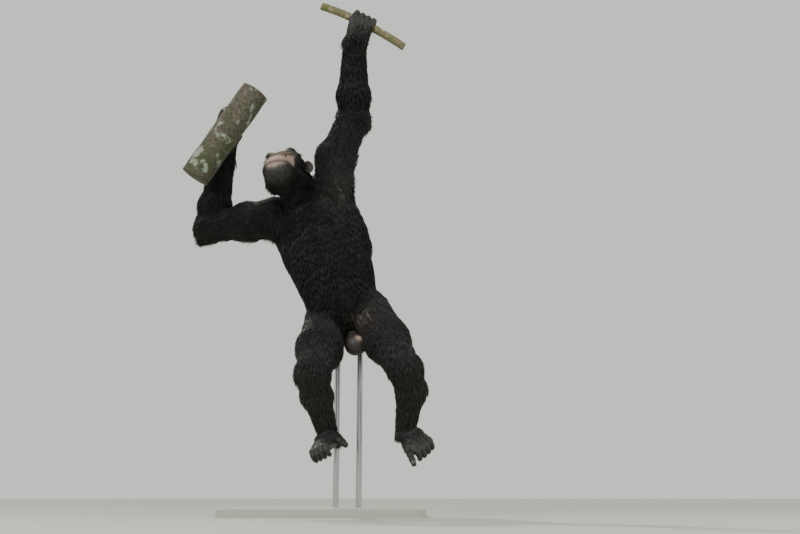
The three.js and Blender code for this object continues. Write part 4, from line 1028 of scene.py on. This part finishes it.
# Perches
def perch(name, place, rings, sides, relief, seed):
    one, two = vec(0, -1, 0), np.cross(place["way"], vec(0, -1, 0))
    turns = np.arange(sides) * 2 * math.pi / sides
    rows = []
    for t in np.linspace(-1, 1, rings):
        s = place["half"] * t
        centre = place["through"] + place["way"] * s - vec(0, 0, place["bow"] * s * s)
        ring = np.outer(np.cos(turns), one) + np.outer(np.sin(turns), two)
        spots = centre + ring * place["radius"]
        depth = relief * (0.5 + 0.5 * waves(spots, place["radius"] * 1.1, seed))
        depth = depth + relief * 0.4 * waves(spots, 9, seed + 1)
        rows.append(spots - ring * np.maximum(depth, 0)[:, None])
    faces = grid_faces(rings, sides)
    vertices = np.concatenate(rows)
    ends = []
    for row in (0, rings - 1):
        loop = np.arange(sides) + row * sides
        middle = len(vertices) + len(ends)
        ends.append(rows[row].mean(0))
        cap = np.stack([loop, np.roll(loop, -1), np.full(sides, middle), np.full(sides, middle)], 1)
        faces = np.concatenate([faces, cap if row else cap[:, ::-1]])
    vertices = np.concatenate([vertices, np.array(ends)])
    mesh = bpy.data.meshes.new(name)
    mesh.from_pydata([tuple(v * MM) for v in vertices], [],
                     [tuple(dict.fromkeys(int(i) for i in f)) for f in faces])
    mesh.update()
    thing = bpy.data.objects.new(name, mesh)
    bpy.context.scene.collection.objects.link(thing)
    for polygon in mesh.polygons[:len(faces) - 2 * sides]:
        polygon.use_smooth = True
    return thing


def stepped(made, texture, low, high, below=(0, 0, 0), above=(1, 1, 1)):
    """A colour ramp over a texture, from one colour at low to the other at high."""
    item = node(made, "ShaderNodeValToRGB")
    for element, place, colour in zip(item.color_ramp.elements, (low, high), (below, above)):
        element.position = place
        element.color = (*colour, 1)
    link(made, texture.outputs["Fac"], item.inputs["Fac"])
    return item


def laid(made, share, under, over):
    """One colour laid over what is under it, where share is bright."""
    item = node(made, "ShaderNodeMix", data_type="RGBA")
    link(made, share.outputs["Color"], item.inputs["Factor"])
    link(made, under, item.inputs["A"])
    item.inputs["B"].default_value = (*over, 1)
    return item.outputs["Result"]


def bark(name, base, dark, light, moss, scale):
    """Rough bark in two tones, with moss in broad patches and lichen in spots."""
    made, shader = material(name, 0.92)
    coordinates = node(made, "ShaderNodeTexCoord")
    broad = node(made, "ShaderNodeTexNoise", Scale=scale, Detail=6, Roughness=0.65)
    fine = node(made, "ShaderNodeTexNoise", Scale=scale * 6, Detail=8, Roughness=0.7)
    spots = node(made, "ShaderNodeTexNoise", Scale=scale * 1.7, Detail=3, Roughness=0.5)
    for texture in (broad, fine, spots):
        link(made, coordinates.outputs["Object"], texture.inputs["Vector"])
    tone = stepped(made, fine, 0.35, 0.62, dark, base)
    mossy = laid(made, stepped(made, broad, 0.50, 0.66), tone.outputs["Color"], moss)
    spotted = laid(made, stepped(made, spots, 0.57, 0.68), mossy, light)
    link(made, spotted, shader.inputs["Base Color"])
    bumped(made, shader, [(scale * 3, 6, 0.5, 0.004), (scale * 14, 6, 0.5, 0.0012)])
    return made


VINE_TONES = dict(
    base=(0.24, 0.195, 0.115), dark=(0.09, 0.07, 0.040), light=(0.33, 0.29, 0.19),
    moss=(0.12, 0.13, 0.045), scale=26)
TRUNK_TONES = dict(
    base=(0.125, 0.108, 0.080), dark=(0.030, 0.026, 0.020), light=(0.27, 0.29, 0.24),
    moss=(0.050, 0.062, 0.022), scale=17)
vine = perch("vine", VINE, 60, 28, 0.7, 41)
vine.data.materials.append(bark("vine_bark", **VINE_TONES))
trunk = perch("trunk", TRUNK, 120, 96, 2.6, 51)
trunk.data.materials.append(bark("trunk_bark", **TRUNK_TONES))
for thing, cad in ((vine, "perch_vine"), (trunk, "perch_trunk")):
    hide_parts(cad)
    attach(thing, "root")

# Stand
steel, _ = material("steel", 0.3, Metallic=1.0, Base_Color=(0.50, 0.51, 0.52, 1))
board, _ = material("board", 0.55, Base_Color=(0.46, 0.44, 0.40, 1))
for name, made in (("stand_base", board), ("stand_rod_left", steel), ("stand_rod_right", steel)):
    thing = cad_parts[name]
    thing.data.materials.clear()
    thing.data.materials.append(made)

# Floor, backdrop and light
floor_material, _ = material("floor", 0.8, Base_Color=(0.42, 0.45, 0.38, 1))
FLOOR_CORNERS = np.array([(-30000, -8000, 0), (30000, -8000, 0), (30000, 40000, 0), (-30000, 40000, 0)])
floor = new_mesh("floor", FLOOR_CORNERS, np.array([(0, 1, 2, 3)]), False)
floor.data.materials.append(floor_material)

world = bpy.data.worlds.new("world")
bpy.context.scene.world = world
world.use_nodes = True
background = world.node_tree.nodes["Background"]
background.inputs["Color"].default_value = (0.80, 0.84, 0.78, 1)
background.inputs["Strength"].default_value = 1.0


def lamp(name, kind, energy, place, target, colour, size=1.0):
    data = bpy.data.lights.new(name, kind)
    data.energy = energy
    data.color = colour
    if kind == "AREA":
        data.size = size
    else:
        data.angle = math.radians(3)
    thing = bpy.data.objects.new(name, data)
    thing.location = place
    thing.rotation_euler = (Vector(target) - Vector(place)).to_track_quat("-Z", "Y").to_euler()
    bpy.context.scene.collection.objects.link(thing)


lamp("sky_back", "SUN", 1.6, (-2, 3, 5), (0, 0, 1), (1, 0.98, 0.92))
lamp("front", "AREA", 60, (-1.6, -2.6, 2.2), (0, 0, 1.0), (1, 0.99, 0.97), 1.6)
lamp("side", "AREA", 25, (2.4, -1.4, 1.6), (0, 0, 1.0), (0.92, 1, 0.9), 1.4)

scene = bpy.context.scene
scene.view_settings.view_transform = "AgX"
